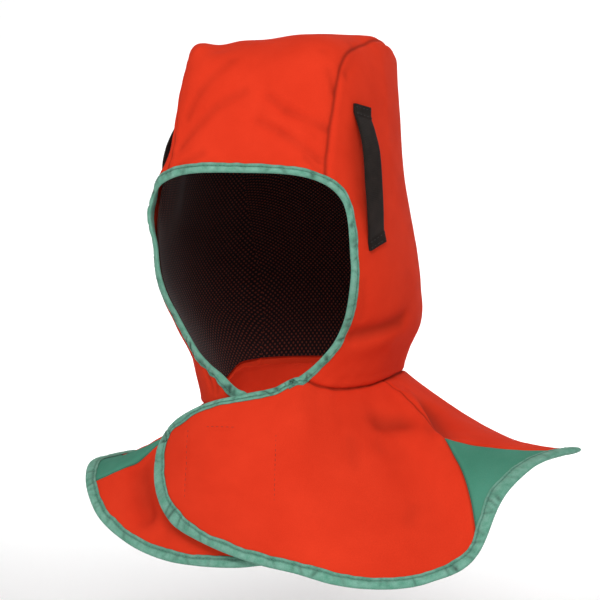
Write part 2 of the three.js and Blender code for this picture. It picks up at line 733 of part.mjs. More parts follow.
function hemPath() {
  const along = (turns, t) => turns.map((turn) => ({ turn, t }));
  const ends = CAPE_STEPS.slice(1, -1);
  const hem = (from, to, count) => along(spaced(from, to, count + 1).slice(1), 1);
  const flapTop = spaced(leftNeckTurn, flapEnd(0), FLAP_COLUMNS + 1);
  flapTop[0] -= TAPE_END_TURN;
  return [
    ...along(flapTop, 0),
    ...ends.map((t) => ({ turn: flapEnd(t), t })),
    { turn: flapEnd(1), t: 1 },
    ...hem(flapEnd(1), leftNeckTurn, FLAP_COLUMNS),
    ...hem(leftNeckTurn, LEFT_SEAM.frontHem, CHEST_COLUMNS),
    ...hem(LEFT_SEAM.frontHem, LEFT_SEAM.backHem, GUSSET_COLUMNS),
    ...hem(LEFT_SEAM.backHem, RIGHT_SEAM.backHem, BACK_COLUMNS),
    ...hem(RIGHT_SEAM.backHem, RIGHT_SEAM.frontHem, GUSSET_COLUMNS),
    ...hem(RIGHT_SEAM.frontHem, tuckEnd(1), TUCK_COLUMNS),
    ...ends.reverse().map((t) => ({ turn: tuckEnd(t), t })),
  ];
}

function hemBinding() {
  const path = hemPath();
  const base = path.map(({ turn, t }) => capePoint(turn, t));
  const normals = path.map(({ turn, t }) => capeNormal(turn, t));
  const inward = inwardAlong(base, normals, 1);
  return loft(path.map(({ turn, t }, i) => {
    const to = capeStep(turn, t, inward[i].clone().multiplyScalar(TAPE_REACH));
    const inner = capePoint(to.turn, to.t);
    const innerNormal = capeNormal(to.turn, to.t);
    return tapeSection({
      edge: folded(base[i], normals[i]),
      edgeNormal: normals[i],
      inner: folded(inner, innerNormal),
      innerNormal,
      inward: inward[i],
    });
  }), TAPE_CAP);
}

// The hidden patch that holds the flap on the tucked front
function closurePatch() {
  const count = CLOSURE_STEPS + 1;
  const patch = gridPatch(count, count, (i, j) => {
    const t = blend(CLOSURE.top, CLOSURE.bottom, i / CLOSURE_STEPS);
    return capeCell(blend(CLOSURE.from, CLOSURE.to, j / CLOSURE_STEPS), t);
  });
  return sheet(patch, PATCH, -(CLOTH + PATCH) / 2 - CLOSURE_GAP);
}

// Webbing loop, sewn down at both ends and standing off in the middle
function helmetLoop(side, rows) {
  const base = rows.map((row) => sidePoint(side, row.y, row.z));
  const normals = base.map(hoodNormal);
  const across = inwardAlong(base, normals, 1);
  const rest = CLOTH / 2 + SEAT_GAP;
  const sections = rows.map((row, i) => {
    const at = (reach, lift) => {
      const foot = toHood(base[i].clone().addScaledVector(across[i], reach * LOOP_WIDTH / 2));
      return folded(foot, hoodNormal(foot)).addScaledVector(normals[i], rest + row.lift + lift);
    };
    return [at(-1, 0), at(1, 0), at(1, WEBBING), at(-1, WEBBING)];
  });
  return loft(sections, [[0, 1, 2], [0, 2, 3]]);
}

// Assembly

const balaclava = new THREE.Group();
balaclava.name = 'welding_balaclava';

function piece(name, geometry, color, roughness) {
  const mesh = new THREE.Mesh(geometry, new THREE.MeshStandardMaterial({ color, roughness, metalness: 0 }));
  mesh.name = name;
  balaclava.add(mesh);
}

piece('crown_panel', sheet(crownPatch(CROWN_ROWS, CROWN_COLUMNS), CLOTH), RED, 0.85);
piece('side_panel_left', sheet(sidePatch(1, SIDE_RINGS, shellCounts), CLOTH), RED, 0.85);
piece('side_panel_right', sheet(sidePatch(-1, SIDE_RINGS, shellCounts), CLOTH), RED, 0.85);
piece('cape_front_left', sheet(flapPatch(), CLOTH), RED, 0.85);
piece('cape_back', sheet(capePatch(CAPE_STEPS, BACK_COLUMNS, leftBack, rightBack), CLOTH), RED, 0.85);
piece('cape_front_right', sheet(capePatch(CAPE_STEPS, TUCK_COLUMNS, rightFront, tuckEnd), CLOTH), RED, 0.85);
piece('gusset_left', sheet(capePatch(gussetSteps(LEFT_SEAM), GUSSET_COLUMNS, leftFront, leftBack), CLOTH), GREEN, 0.85);
piece('gusset_right', sheet(capePatch(gussetSteps(RIGHT_SEAM), GUSSET_COLUMNS, rightBack, rightFront), CLOTH), GREEN, 0.85);
piece('face_binding', faceBinding(), GREEN, 0.8);
piece('hem_binding', hemBinding(), GREEN, 0.8);
piece('helmet_loop_left', helmetLoop(1, LOOP_ROWS), BLACK, 0.75);
piece('helmet_loop_right', helmetLoop(-1, FAR_LOOP_ROWS), BLACK, 0.75);
piece('closure_patch', closurePatch(), BLACK, 0.9);
piece('mesh_lining', meshLining(), DARK, 0.95);

export default balaclava;
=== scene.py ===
"""Welding balaclava: red twill hood and crossing cape, green bound edges, webbing loops."""

import math

import bpy
import numpy as np
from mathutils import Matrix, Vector, noise


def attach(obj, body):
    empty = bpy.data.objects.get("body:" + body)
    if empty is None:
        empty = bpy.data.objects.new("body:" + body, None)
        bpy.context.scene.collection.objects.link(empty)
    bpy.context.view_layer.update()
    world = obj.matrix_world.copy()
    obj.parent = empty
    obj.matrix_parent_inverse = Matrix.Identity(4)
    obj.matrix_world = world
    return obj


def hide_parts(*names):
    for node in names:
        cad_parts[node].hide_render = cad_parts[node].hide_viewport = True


bl_info = {
    "name": "Welding balaclava",
    "version": (1, 0, 0),
    "blender": (4, 5, 0),
    "location": "View3D > Sidebar > Balaclava",
    "description": "Sews the cloth, bindings, loops and stitching of a welding balaclava",
    "category": "Object",
}

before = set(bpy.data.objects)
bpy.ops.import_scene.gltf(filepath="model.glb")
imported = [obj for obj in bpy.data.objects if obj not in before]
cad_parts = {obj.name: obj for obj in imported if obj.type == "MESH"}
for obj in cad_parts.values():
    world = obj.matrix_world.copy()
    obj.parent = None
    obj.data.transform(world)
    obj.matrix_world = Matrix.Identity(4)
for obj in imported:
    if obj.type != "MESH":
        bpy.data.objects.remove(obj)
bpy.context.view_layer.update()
MM = 0.001
DEG = math.pi / 180


# Tables, in millimetres and degrees


def rows(names, *values):
    """Columns of a small table, by name."""
    return dict(zip(names.split(), np.array(values, float).T))


HOOD = rows(
    "z half centre front back n_front n_back taper",
    (-262, 60.5, 47, 110, 68, 2, 2, 0),
    (-236, 68, 49, 110, 72, 2, 2, 0),
    (-217, 75, 46, 107, 77.5, 2, 2, 0),
    (-199, 84, 42, 107, 84, 2, 2, 0),
    (-171, 88, 26, 106, 98, 2.2, 2, 0),
    (-136, 85, 15, 104, 103, 2.6, 2.1, 0.03),
    (-96, 79, 9, 88, 99, 3.8, 2.2, 0.11),
    (-67, 76, 9, 80, 95, 4.6, 2.3, 0.16),
    (-25, 73, 12, 71, 86, 5, 2.4, 0.17),
    (0, 72, 14, 67, 82, 5, 2.5, 0.15),
)
CAP_DEPTH = 60.0
CAP_POWER = 4.2
HOOD_TOP = 3.0
FAN_Y = 45.0
FAN_Z = -150.0
EAR_Y = 20.0
EAR_Z = -130.0
CROWN_SEAM = rows("turn half", (0, 55), (40, 57), (90, 58), (180, 58), (230, 52))

FACE_Z = -150.0
FACE_HALF = 70.3
FACE_RISE = 61.6
FACE_DROP = 91.0
FACE_TOP_POWER = 4.1
FACE_LOW_POWER = 1.8
LEFT_CORNER = -68.0
RIGHT_CORNER = -87.5
# The right edge rises above the flap and comes down again where it goes under it
RIGHT_LIFT = {"height": 7.5, "rise": (223, 258), "share": 0.62, "fall": (254, 267)}

CAPE_Y = 40.0
CAPE = rows(
    "turn out neck_z r z swell sag",
    (-40, 31, -268, 129, -309, 3, 0),
    (-31, 25, -260, 130.5, -318, 3, 0),
    (-16, 13, -247, 135, -329, 5, 0),
    (1, 4.5, -238.5, 143, -340.5, 7, 0),
    (10, 2, -235, 151, -345, 7, 0),
    (19.3, 0, -228.3, 162, -348.5, 7, 0),
    (27, 0, -233.5, 172, -353.7, 5, 0),
    (34, 0, -236.5, 180, -356, 4, 0),
    (46, 0, -238, 192, -352, 2, 0),
    (56, 0, -238, 197, -335.5, 0, -3),
    (62, 0, -238, 194, -307, 0, -6),
    (71, 0, -237, 193, -288, 0, -10),
    (80, 0, -236, 196, -281, 0, -11),
    (90, 0, -235, 203, -280, 0, -13),
    (97, 0, -234, 195, -285, 0, -11.5),
    (105, 0, -234, 181, -292, 0, -6),
    (118, 0, -234, 170, -302, 0, -1),
    (134, 0, -236, 163.5, -316, 0, 0),
    (180, 0, -236, 155, -340, 0, -4),
    (226, 0, -236.5, 150.5, -325, 0, -11),
    (237, 0, -238, 149, -315, 0, -13.5),
    (250, 0, -245, 147.5, -304.5, 0, -15),
    (270, 0, -251, 147, -301, 0, -13),
    (288, 0, -254.5, 150, -303, 0, -8),
    (299, 0, -254.5, 150, -314, 0, -3),
    (309, 0, -253.5, 147, -329, 0, -2),
    (321, 0, -251.5, 139, -342.5, 2, 0),
    (336, 0, -249.5, 132, -351, 6, 0),
    (347.6, 0, -246, 131, -352, 7, 0),
    (353.9, 0, -239.3, 132.5, -351.5, 7.5, 0),
    (363, -3, -239, 138, -349.5, 8, 0),
    (372, -5, -238, 146, -345.5, 8, 0),
    (380, -5, -238, 152, -344, 8, 0),
)
LOWEST_RING = -256.0
LEFT_SEAM = {"neck": 79.0, "apex": 70.0, "at": 0.45, "front": 56.0, "back": 88.0}
RIGHT_SEAM = {"neck": 298.0, "apex": 303.0, "at": 0.31, "front": 296.5, "back": 262.0}
FLAP = {"turn": -33.5, "round": 13.0, "power": 2.8, "lean": 6.0}
TUCK = {"neck": 358.2, "reach": 21.5, "corner": 0.72, "round": 6.0, "power": 2.5}

# Folds and dents: a line through the cloth, its width, and its depth, negative inwards
FOLDS = rows(
    "x0 y0 z0 x1 y1 z1 width depth",
    (13, -61, -39, 52, -61, -59, 8, -1.6),
    (8, -67, -55, 51, -66, -80, 8, -1.6),
    (-19, -44, -13, -44, -65, -61, 9, -1.8),
    (-6, -61, -36, -46, -67, -70, 8, -1.4),
    (-46, -36, -7, -51, -22, -6, 9, 3.5),
    (-31, -34, -5, -58, 40, -4, 14, -6),
    (0, -40, -2, -38, 66, 0, 22, -4.5),
    (-63, -42, -22, -68, -54, -95, 26, -4),
    (-66, -61, -100, -68, -58, -116, 16, 6.8),
    (84, 20, -246, 118, -8, -272, 11, 3),
    (102, 35, -258, 116, 20, -265, 12, -2.5),
    (84, -10, -256, 80, -32, -264, 12, -2),
    (-68, -4, -230, -62, -20, -214, 9, -1.4),
    (-74, -12, -35, -78, -14, -110, 24, -4.5),
    (-97, -27, -295, -77, -63, -323, 10, -4),
    (-77, -63, -323, -59, -76, -330, 8, -2.5),
)
CREASES = rows(
    "x0 y0 z0 x1 y1 z1 width depth",
    (57, 25, -5, 60, 72, -16, 13, 4),
    (14, -62, -39, 27, -65, -48, 2.7, -1.2),
    (27, -65, -48, 55, -59, -60, 3.1, -1.8),
    (16, -62, -33, 40, -62, -47, 3.4, 1.1),
    (8, -68, -55, 24, -69, -62, 2.7, -1.2),
    (24, -69, -62, 53, -67, -81, 3.1, -1.8),
    (14, -68, -50, 44, -66, -66, 3.8, 1.1),
    (44, -39, -11, 59, -36, -25, 2.9, -2.4),
    (55, -12, -9, 58, -36, -24, 3.8, -2.1),
    (-17, -49, -16, -37, -60, -37, 3.8, -1.6),
    (-37, -60, -37, -45, -63, -52, 3.4, -1.2),
    (-5, -61, -36, -21, -64, -45, 3.8, -1.1),
    (-21, -64, -45, -49, -67, -72, 3.4, -1.4),
    (-29, -73, -77, -46, -72, -86, 3, -1.1),
    (44, -71, -78, 53, -68, -87, 2.7, -1.2),
    (51, -46, -23, 56, -49, -36, 3.1, -1.6),
    (65, -27, -201, 85, 15, -193, 7, -3.4),
    (60, -32, -212, 80, 8, -206, 9, 1.3),
    (75, -40, -164, 70, -29, -189, 4, -0.7),
    (81, 34, -245, 119, -9, -272, 3.4, 1.7),
    (98, 35, -255, 116, 3, -268, 9, -4),
    (81, -16, -258, 92, -7, -259, 9, -3.3),
    (70, -48, -267, 76, -60, -281, 5, -0.7),
    (-97, -27, -295, -77, -63, -323, 8, -2.2),
    (84, -26, -265, 88, -38, -274, 5, -0.6),
    (117, -60, -308, 117, -71, -316, 5, -0.9),
    (-38, -46, -224, -33, -50, -238, 3, -2.1),
    (-29, -52, -229, -27, -53, -239, 2.6, -1.8),
)

LOOP = rows(
    "y z lift",
    (-27.5, -45.5, 0),
    (-28.6, -51, 0),
    (-31, -61, 3.8),
    (-34.5, -76, 7.4),
    (-38, -99, 7.4),
    (-36.5, -119, 3.8),
    (-32.5, -133.5, 0),
    (-31, -139, 0),
)
FAR_LOOP = rows(
    "y z lift",
    (-13.5, -45.5, 0),
    (-14.6, -51, 0),
    (-16, -60, 0.2),
    (-17.5, -68, 2.6),
    (-19.5, -77, 4.4),
    (-22, -87, 4.4),
    (-23.5, -96, 2.4),
    (-24, -106, 0.8),
    (-22.5, -119, 0.7),
    (-18.5, -133.5, 0.3),
    (-17, -139, 0),
)
CLOSURE = {"start": -25.0, "end": -3.0, "top": 0.34, "low": 0.7, "thick": 2.0, "gap": 0.7, "rough": 0.15}

# Lines sewn through the flap, laid flat: across in mm from the front, down in mm from the neck edge
FLAP_ACROSS = 2.3
BOX = rows(
    "x0 y0 z0 x1 y1 z1",
    (-47.7, 20.4, 0, -40.3, 51, 0),
    (-40.3, 51, 0, -36.8, 79.5, 0),
    (28.2, 30, 0, 29.9, 69.1, 0),
    (-27.6, 20, 0, -5.8, 21.8, 0),
)
BOX_DEPTH = 0.4
BOX_WIDTH = 1.1

# Lengths of cloth: the crown, whose first and last sixth ease into its ends, the cape in front and at its
# seams, and mm to a degree at neck, face and hem
CROWN_LENGTH = 440.0
CROWN_EASE = 6
CAPE_DOWN = 110.0
CAPE_LENGTH = 120.0
NECK_DEGREE = 1.6
FACE_DEGREE = 1.3
CAPE_DEGREE = 1.9

# Seams: the groove, the allowance beside it, and how far the puckers reach
SEAM = {"depth": 1.0, "width": 1.2, "allowance": 0.3, "beside": 4.0, "spread": 2.4, "fade": 8.0}
PUCKER = {"hood": 0.3, "wedge": 0.22, "length": 12.5, "drift": 1.9, "drift_length": 19.0,
          "swell_length": 31.0}
LEFT_PHASE = 40.0
NECK_EASE = 3.0
LEAST_COSINE = 0.6
NO_SEAM = 99.0

# Slack of the cloth, and the painted shade in its creases, along its seams and in the wrinkles of the tape
SLACK = rows("size depth seed", (34, 0.45, 1), (13, 0.2, 2))
SHADE = {"painted_shade": 0.1, "darkest": 0.35, "seam": 0.45, "width": 0.9, "wrinkle": 0.9, "darkest_tape": 0.8}

# Section of a tape: reach as a share of the width and a shift, height as shares of its near and far side
# and a lift, and for the outside how much it wrinkles and how dark its painted shade is at its edges and
# stitch groove
TAPE = rows(
    "share shift near far lift hold dark",
    # The dark column is painted shade along the tape's edges and in its stitch groove.
    (1, 0, 1, 0, 0, 0, 0.7),
    (1, 0.25, 0.5, 0.5, 0, 0.2, 0.4),
    (1, -0.05, 0, 1, 0, 0.5, 0.1),
    (1, -1, 0, 1, 0.06, 0.6, 0.1),
    (1, -1.9, 0, 1, -0.2, 0.35, 0.5),
    (1, -3, 0, 1, 0.16, 0.8, 0.1),
    (0.52, 0, 0, 1, 0.34, 1, 0),
    (0.36, 0, 0, 1, 0.38, 1, 0),
    (0.2, 0, 0, 1, 0.34, 1, 0),
    (0.07, 0, 0, 1, 0.16, 0.9, 0),
    (0, -0.35, 0, 0.82, 0, 0.6, 0.05),
    (0, -0.85, 0, 0.42, 0, 0.3, 0.1),
)
TAPE_FOLD = rows("share shift near far lift", (0, -1, 0, 0, 0))
TAPE_SLOT = rows(
    "share shift near far lift",
    (0.5, 0, -1, 0, 0),
    (0, 0.3, -0.8, 0, 0),
    (0, -0.2, 0, 0, 0),
    (0, 0.3, 0.8, 0, 0),
    (0.5, 0, 1, 0, 0),
)
TAPE_STEP = 0.8
TAPE_GAP = 0.12
TAPE_REACHES = (3.0, 6.0, 9.0, 12.0)
TAPE_NOISE = rows("length depth place", (17, 0.8, 0.5), (6, 0.45, 3.5))
REACH_PAST = 1.3
DEEPEST_WRINKLE = 0.5
BEND_COUNT = 25
BEND_RADIUS = 22.0
STITCH_BACK = 1.9
STITCH_SINK = 0.02
STITCH_LIFT = 0.05

# The face tape starts on the tucked front and ends on the flap; its width changes round the face
FACE_MIDDLE = (0, -95, FACE_Z)
FACE_SEED = 3
FACE_COUNT = 1400
END_COUNT = 60
NORMAL_COUNT = 29
EDGE_COUNT = 17
TUCK_TAPE = 0.15
FLAP_TAPE = 5.5
CAPE_BELOW = -215.0
FACE_WIDTH = {"left": -2.1, "brow": 1.0, "brow_from": (60, 100), "temple": 3.8, "temple_from": (130, 155),
              "temple_to": (250, 220)}

# The hem tape's width changes by an amount that comes and goes with the turn, and over a span of t; the
# spans named for any turn and any t hold everywhere
HEM_SEED = 8
HEM_START = 1.2
HEM_COUNTS = {"top": 160, "end": 400, "hem": 1700, "left_off": 110}
ANY_TURN = (500, 400)
ANY_T = (-2, -1)
HEM_WIDTHS = (
    (3.6, (-8, -20), ANY_TURN, (0, 0.08)),
    (-2.7, (-28, -19), ANY_TURN, (0.08, 0)),
    (3.4, (56, 64), (96, 88), ANY_T),
)

# Section of the webbing, its rows of stitches from either end, and the turned-in ends that make it thicker
WEBBING = rows(
    "across up",
    (-1, 0.5), (-0.985, 0.12), (-0.94, 0), (-0.5, 0), (0, 0), (0.5, 0),
    (0.94, 0), (0.985, 0.12), (1, 0.5), (0.985, 0.88), (0.94, 1), (0.82, 1.04),
    (0.5, 1), (0, 1), (-0.5, 1), (-0.82, 1.04), (-0.94, 1), (-0.985, 0.88),
)
LOOP_COUNT = 120
LOOP_GAP = 0.5
LOOP_ROWS = (2.0, 7.5, -6.5, -1.8)
TURNED_END = {"first": (9.0, 7.8), "last": (-8.0, -6.8), "more": 0.45}

# The lining: its first and last place along the crown, its lowest angles at the face, and its room inside
LINING_T = (0.024, 0.992)
LINING_CORNER = {"left": -56.0, "right": -60.0}
LINING_MARGIN = 11.0
LINING_MIDDLE = -2.6

# Counts of points
CROWN_COUNTS = {"across": 91, "along": 261}
SIDE_COUNTS = {"seam": 171, "neck": 112, "face": 130, "middle": 14, "ring": 101}
CAPE_ROWS = 84
LINING_COUNTS = {"across": 31, "along": 90, "neck": 60, "face": 70, "ring": 34}
CLOSURE_COUNT = 40

# Cloth coordinates: mm to one unit, the shift of the inside, and the step round a tape
UV_UNIT = 100.0
INNER_UV = (0.31, 0.17)
TAPE_UV_STEP = 0.011

# Searches on the surfaces
PROBE = 0.05
LONGEST_RAY = 260.0
RAY_HALVINGS = 36
NECK_TURNS = (-46.0, 387.0)
TURN_PROBE = 0.2
T_PROBE = 0.004
T_SEARCH = (-0.2, 1.2)
T_HALVINGS = 24

# Grain and colours of the hidden pile, and colours of the threads
PILE_SIZE = 2.5
PILE_SEED = 5
PILE = ((0.10, 0.014, 0.008), (0.2, 0.03, 0.016))
GREEN_THREAD = (0.1, 0.31, 0.23)
RED_THREAD = (0.42, 0.03, 0.012)
BLACK_THREAD = (0.02, 0.016, 0.014)

# Stage, in metres
FLOOR = {"front": -6.0, "back": 3.0, "radius": 1.5, "top": 6.0, "half": 8.0}
LIGHT_AIM = (0, 0.02, -0.18)
BACKDROP_AIM = (0, 4.4, -0.1)
CAMERA_AIM = (0, 0.02, -0.19)
CAMERA_SHIFT = (10 / 600, 12 / 600)


# Surfaces of the hood and the cape


def curve(table, key, column):
    """A smooth function through one column of a table."""
    k, v = table[key], table[column]
    step = np.diff(k)
    slope = np.diff(v) / step
    middle = (slope[:-1] * step[1:] + slope[1:] * step[:-1]) / (step[1:] + step[:-1])
    tangent = np.concatenate([slope[:1], middle, slope[-1:]])

    def at(x):
        x = np.clip(np.asarray(x, float), k[0], k[-1])
        i = np.clip(np.searchsorted(k, x, side="right") - 1, 0, len(k) - 2)
        p = (x - k[i]) / step[i]
        a = 2 * p**3 - 3 * p**2 + 1
        b = (p**3 - 2 * p**2 + p) * step[i]
        c = (p**3 - p**2) * step[i]
        return a * v[i] + b * tangent[i] + (1 - a) * v[i + 1] + c * tangent[i + 1]

    return at


def columns(table, key):
    return {name: curve(table, key, name) for name in table if name != key}


hood = columns(HOOD, "z")
cape = columns(CAPE, "turn")
crown_half = curve(CROWN_SEAM, "turn", "half")


def xyz(x, y, z):
    parts = np.broadcast_arrays(np.asarray(x, float), np.asarray(y, float), np.asarray(z, float))
    return np.stack(parts, -1)


def blend(a, b, t):
    return a + (b - a) * t


def smooth(t):
    t = np.clip(t, 0, 1)
    return t * t * (3 - 2 * t)


def ease(v, span):
    """Rise from 0 to 1 between the two ends of a span, which may run backwards."""
    return smooth((v - span[0]) / (span[1] - span[0]))


def unit(v):
    return v / np.linalg.norm(v, axis=-1, keepdims=True)


def dot(a, b):
    return (a * b).sum(-1)


def hood_level(p):
    """Negative inside the hood, positive outside."""
    x, y, z = p[..., 0], p[..., 1], p[..., 2]
    dy = y - hood["centre"](z)
    ahead = dy < 0
    n = np.where(ahead, hood["n_front"](z), hood["n_back"](z))
    depth = np.where(ahead, hood["front"](z), hood["back"](z))
    half = hood["half"](z) * (1 - hood["taper"](z) * np.clip(-dy / depth, 0, 1))
    reach = (np.abs(x / half) ** n + np.abs(dy / depth) ** n) ** (1 / n)
    rise = np.maximum(0, (z + CAP_DEPTH) / (CAP_DEPTH + HOOD_TOP))
    return reach**CAP_POWER + rise**CAP_POWER - 1


def hood_normal(p):
    slopes = [hood_level(p + PROBE * axis) - hood_level(p - PROBE * axis) for axis in np.eye(3)]
    return unit(np.stack(slopes, -1))


def cast(start, direction):
    """Where a ray from inside the hood leaves it."""
    start, direction = np.broadcast_arrays(np.asarray(start, float), np.asarray(direction, float))
    near = np.zeros(start.shape[:-1])
    far = near + LONGEST_RAY
    for _ in range(RAY_HALVINGS):
        middle = (near + far) / 2
        outside = hood_level(start + direction * middle[..., None]) > 0
        far = np.where(outside, middle, far)
        near = np.where(outside, near, middle)
    return start + direction * near[..., None]


def to_hood(p):
    """A place on the hood near each point, by a few steps along the normal."""
    for _ in range(4):
        n = hood_normal(p)
        level = hood_level(p)
        grade = (hood_level(p + n * PROBE) - level) / PROBE
        p = p - n * (level / grade)[..., None]
    return p


def crown_point(x, turn):
    a = np.asarray(turn) * DEG
    return cast(xyz(x, EAR_Y, EAR_Z), xyz(0 * a, -np.cos(a), np.sin(a)))


def side_point(side, y, z):
    return cast(xyz(0, y, z), (side, 0, 0))


def right_lift(angle):
    """Rise of the right face edge above the flap, which eases off where the edge goes under the flap."""
    turn = angle % 360
    fall = 1 - RIGHT_LIFT["share"] * ease(turn, RIGHT_LIFT["fall"])
    return np.where(turn < 270, RIGHT_LIFT["height"] * ease(turn, RIGHT_LIFT["rise"]) * fall, 0)


def face_edge(angle):
    """Edge of the face opening against the angle round its middle, from the wearer's left over the brow."""
    angle = np.asarray(angle, float)
    c, s = np.cos(angle * DEG), np.sin(angle * DEG)
    height = np.where(s >= 0, FACE_RISE, FACE_DROP)
    n = np.where(s >= 0, FACE_TOP_POWER, FACE_LOW_POWER)
    r = (np.abs(c / FACE_HALF) ** n + np.abs(s / height) ** n) ** (-1 / n)
    z = FACE_Z + r * s + right_lift(angle)
    return cast(xyz(r * c, hood["centre"](z), z), (0, -1, 0))


def face_angle(x):
    n = FACE_TOP_POWER
    z = FACE_RISE * (1 - np.abs(x / FACE_HALF) ** n) ** (1 / n)
    return np.arctan2(z, x) / DEG


def side_angles(side, angles):
    """Angles given for the left face edge, on either side."""
    return angles if side > 0 else 180 - angles


def side_turns(side, turns):
    """Turns given for the left of the neck, on either side."""
    return turns if side > 0 else 360 - turns


def ear_turn(p):
    return np.arctan2(p[..., 2] - EAR_Z, EAR_Y - p[..., 1]) / DEG


def cape_turn(p):
    return np.arctan2(p[..., 0], CAPE_Y - p[..., 1]) / DEG


def neck_ring():
    """Radius of the neck seam against the turn round the neck."""
    turn = np.arange(*NECK_TURNS, 1.0)
    out = xyz(np.sin(turn * DEG), -np.cos(turn * DEG), 0)
    z = np.maximum(cape["neck_z"](turn), LOWEST_RING)
    ring = cast(xyz(0, CAPE_Y, z), out)
    r = np.hypot(ring[:, 0], ring[:, 1] - CAPE_Y) + cape["out"](turn)
    return curve({"turn": turn, "r": r}, "turn", "r")


neck_r = neck_ring()


def cape_point(turn, t):
    turn, t = np.broadcast_arrays(np.asarray(turn, float), np.asarray(t, float))
    bulge = 4 * t * (1 - t)
    r = blend(neck_r(turn), cape["r"](turn), t) + cape["swell"](turn) * bulge
    z = blend(cape["neck_z"](turn), cape["z"](turn), t) + cape["sag"](turn) * bulge
    return xyz(r * np.sin(turn * DEG), CAPE_Y - r * np.cos(turn * DEG), z)


def cape_slopes(turn, t):
    across = (cape_point(turn + TURN_PROBE, t) - cape_point(turn - TURN_PROBE, t)) / (2 * TURN_PROBE)
    down = (cape_point(turn, t + T_PROBE) - cape_point(turn, t - T_PROBE)) / (2 * T_PROBE)
    return across, down


def cape_normal(turn, t):
    across, down = cape_slopes(turn, t)
    return unit(np.cross(down, across))


def cape_step(turn, t, move):
    """Step along the cape by a vector that lies in it."""
    goal = cape_point(turn, t) + move
    for _ in range(4):
        rest = goal - cape_point(turn, t)
        across, down = cape_slopes(turn, t)
        aa, dd, ad = dot(across, across), dot(down, down), dot(across, down)
        det = aa * dd - ad * ad
        turn = turn + (dot(rest, across) * dd - dot(rest, down) * ad) / det
        t = t + (dot(rest, down) * aa - dot(rest, across) * ad) / det
    return turn, t


def to_cape(p, under):
    """The cape surface at a point's direction and height, or the tucked front under the flap."""
    turn = cape_turn(p) + 360.0 * under
    low, high = (np.full(turn.shape, end) for end in T_SEARCH)
    for _ in range(T_HALVINGS):
        t = (low + high) / 2
        below = cape_point(turn, t)[..., 2] > p[..., 2]
        low, high = np.where(below, t, low), np.where(below, high, t)
    return turn, (low + high) / 2


def round_off(t, power):
    return 1 - (1 - np.clip(np.abs(t), 0, 1) ** power) ** (1 / power)


def flap_end(t):
    """Turn of the flap's end against t."""
    return FLAP["turn"] + FLAP["round"] * round_off(2 * t - 1, FLAP["power"]) - FLAP["lean"] * (1 - 2 * t)


def tuck_end(t):
    """Turn of the tucked front's edge against t."""
    corner = np.clip((t - TUCK["corner"]) / (1 - TUCK["corner"]), 0, 1)
    straight = TUCK["neck"] + TUCK["reach"] * (1 - (1 - t) ** 3)
    return straight - TUCK["round"] * round_off(corner, TUCK["power"])


def seam_line(line, side):
    """Turn of one seam of a shoulder wedge against t."""

    def at(t):
        upper = blend(line["neck"], line["apex"], t / line["at"])
        lower = blend(line["apex"], line[side], (t - line["at"]) / (1 - line["at"]))
        return np.where(t <= line["at"], upper, lower)

    return at


left_front, left_back = (seam_line(LEFT_SEAM, side) for side in ("front", "back"))
right_front, right_back = (seam_line(RIGHT_SEAM, side) for side in ("front", "back"))


def crown_half_at_face():
    half = CROWN_SEAM["half"][0]
    for _ in range(6):
        half = float(crown_half(ear_turn(face_edge(face_angle(half)))))
    return half


CROWN_HALF = crown_half_at_face()
CORNER_TURN = float(cape_turn(face_edge(LEFT_CORNER)))


# Relief of the cloth


def to_lines(p, table):
    """Distance of each point from each line of a table."""
    found = []
    for x0, y0, z0, x1, y1, z1 in zip(*(table[c] for c in ("x0", "y0", "z0", "x1", "y1", "z1"))):
        a, b = np.array((x0, y0, z0)), np.array((x1, y1, z1))
        t = np.clip((p - a) @ (b - a) / ((b - a) @ (b - a)), 0, 1)
        found.append(np.linalg.norm(p - a - t[..., None] * (b - a), axis=-1))
    return found


def line_shifts(p, table):
    """How far each line of a table moves each point."""
    lines = zip(to_lines(p, table), table["width"], table["depth"])
    return [depth * np.exp(-((d / width) ** 2)) for d, width, depth in lines]


def crease_shift(p):
    """Sharper creases and ridges, where the deepest and the highest one count."""
    found = np.stack(line_shifts(p, CREASES))
    return np.minimum(found, 0).min(0) + np.maximum(found, 0).max(0)


def fold_shift(p):
    """Broad folds of the worn shape, which add up where they meet, and the creases on them."""
    return sum(line_shifts(p, FOLDS)) + crease_shift(p)


def rumple(p, size, seed):
    """Smooth noise between about -1 and 1."""
    shift = Vector((seed * 7.3, seed * 3.1, seed * 5.7))
    flat = p.reshape(-1, 3) / size
    return np.array([noise.noise(Vector(q) + shift) for q in flat]).reshape(p.shape[:-1])


def settled(p):
    """Folds, creases and slack of the cloth, which the tape on it follows."""
    total = fold_shift(p)
    for size, depth, seed in zip(SLACK["size"], SLACK["depth"], SLACK["seed"]):
        total = total + depth * rumple(p, size, seed)
    return total


def seam_relief(d, s, pucker=PUCKER["hood"]):
    """Groove of a seam, the turned-in allowance beside it, and its puckers."""
    groove = -SEAM["depth"] * np.exp(-((d / SEAM["width"]) ** 2))
    allowance = SEAM["allowance"] * np.exp(-(((d - SEAM["beside"]) / SEAM["spread"]) ** 2))
    wave = np.sin(2 * math.pi * s / PUCKER["length"] + PUCKER["drift"] * np.sin(s / PUCKER["drift_length"]))
    wave = wave * (0.6 + 0.4 * np.sin(s / PUCKER["swell_length"] + 1))
    return groove + allowance + pucker * wave * np.exp(-d / SEAM["fade"])


def box_relief(turn, t):
    """Shallow lines where the closure is sewn through the flap."""
    flat = xyz(turn * FLAP_ACROSS, t * CAPE_DOWN, 0)
    d = np.min(to_lines(flat, BOX), axis=0)
    return -BOX_DEPTH * np.exp(-((d / BOX_WIDTH) ** 2))


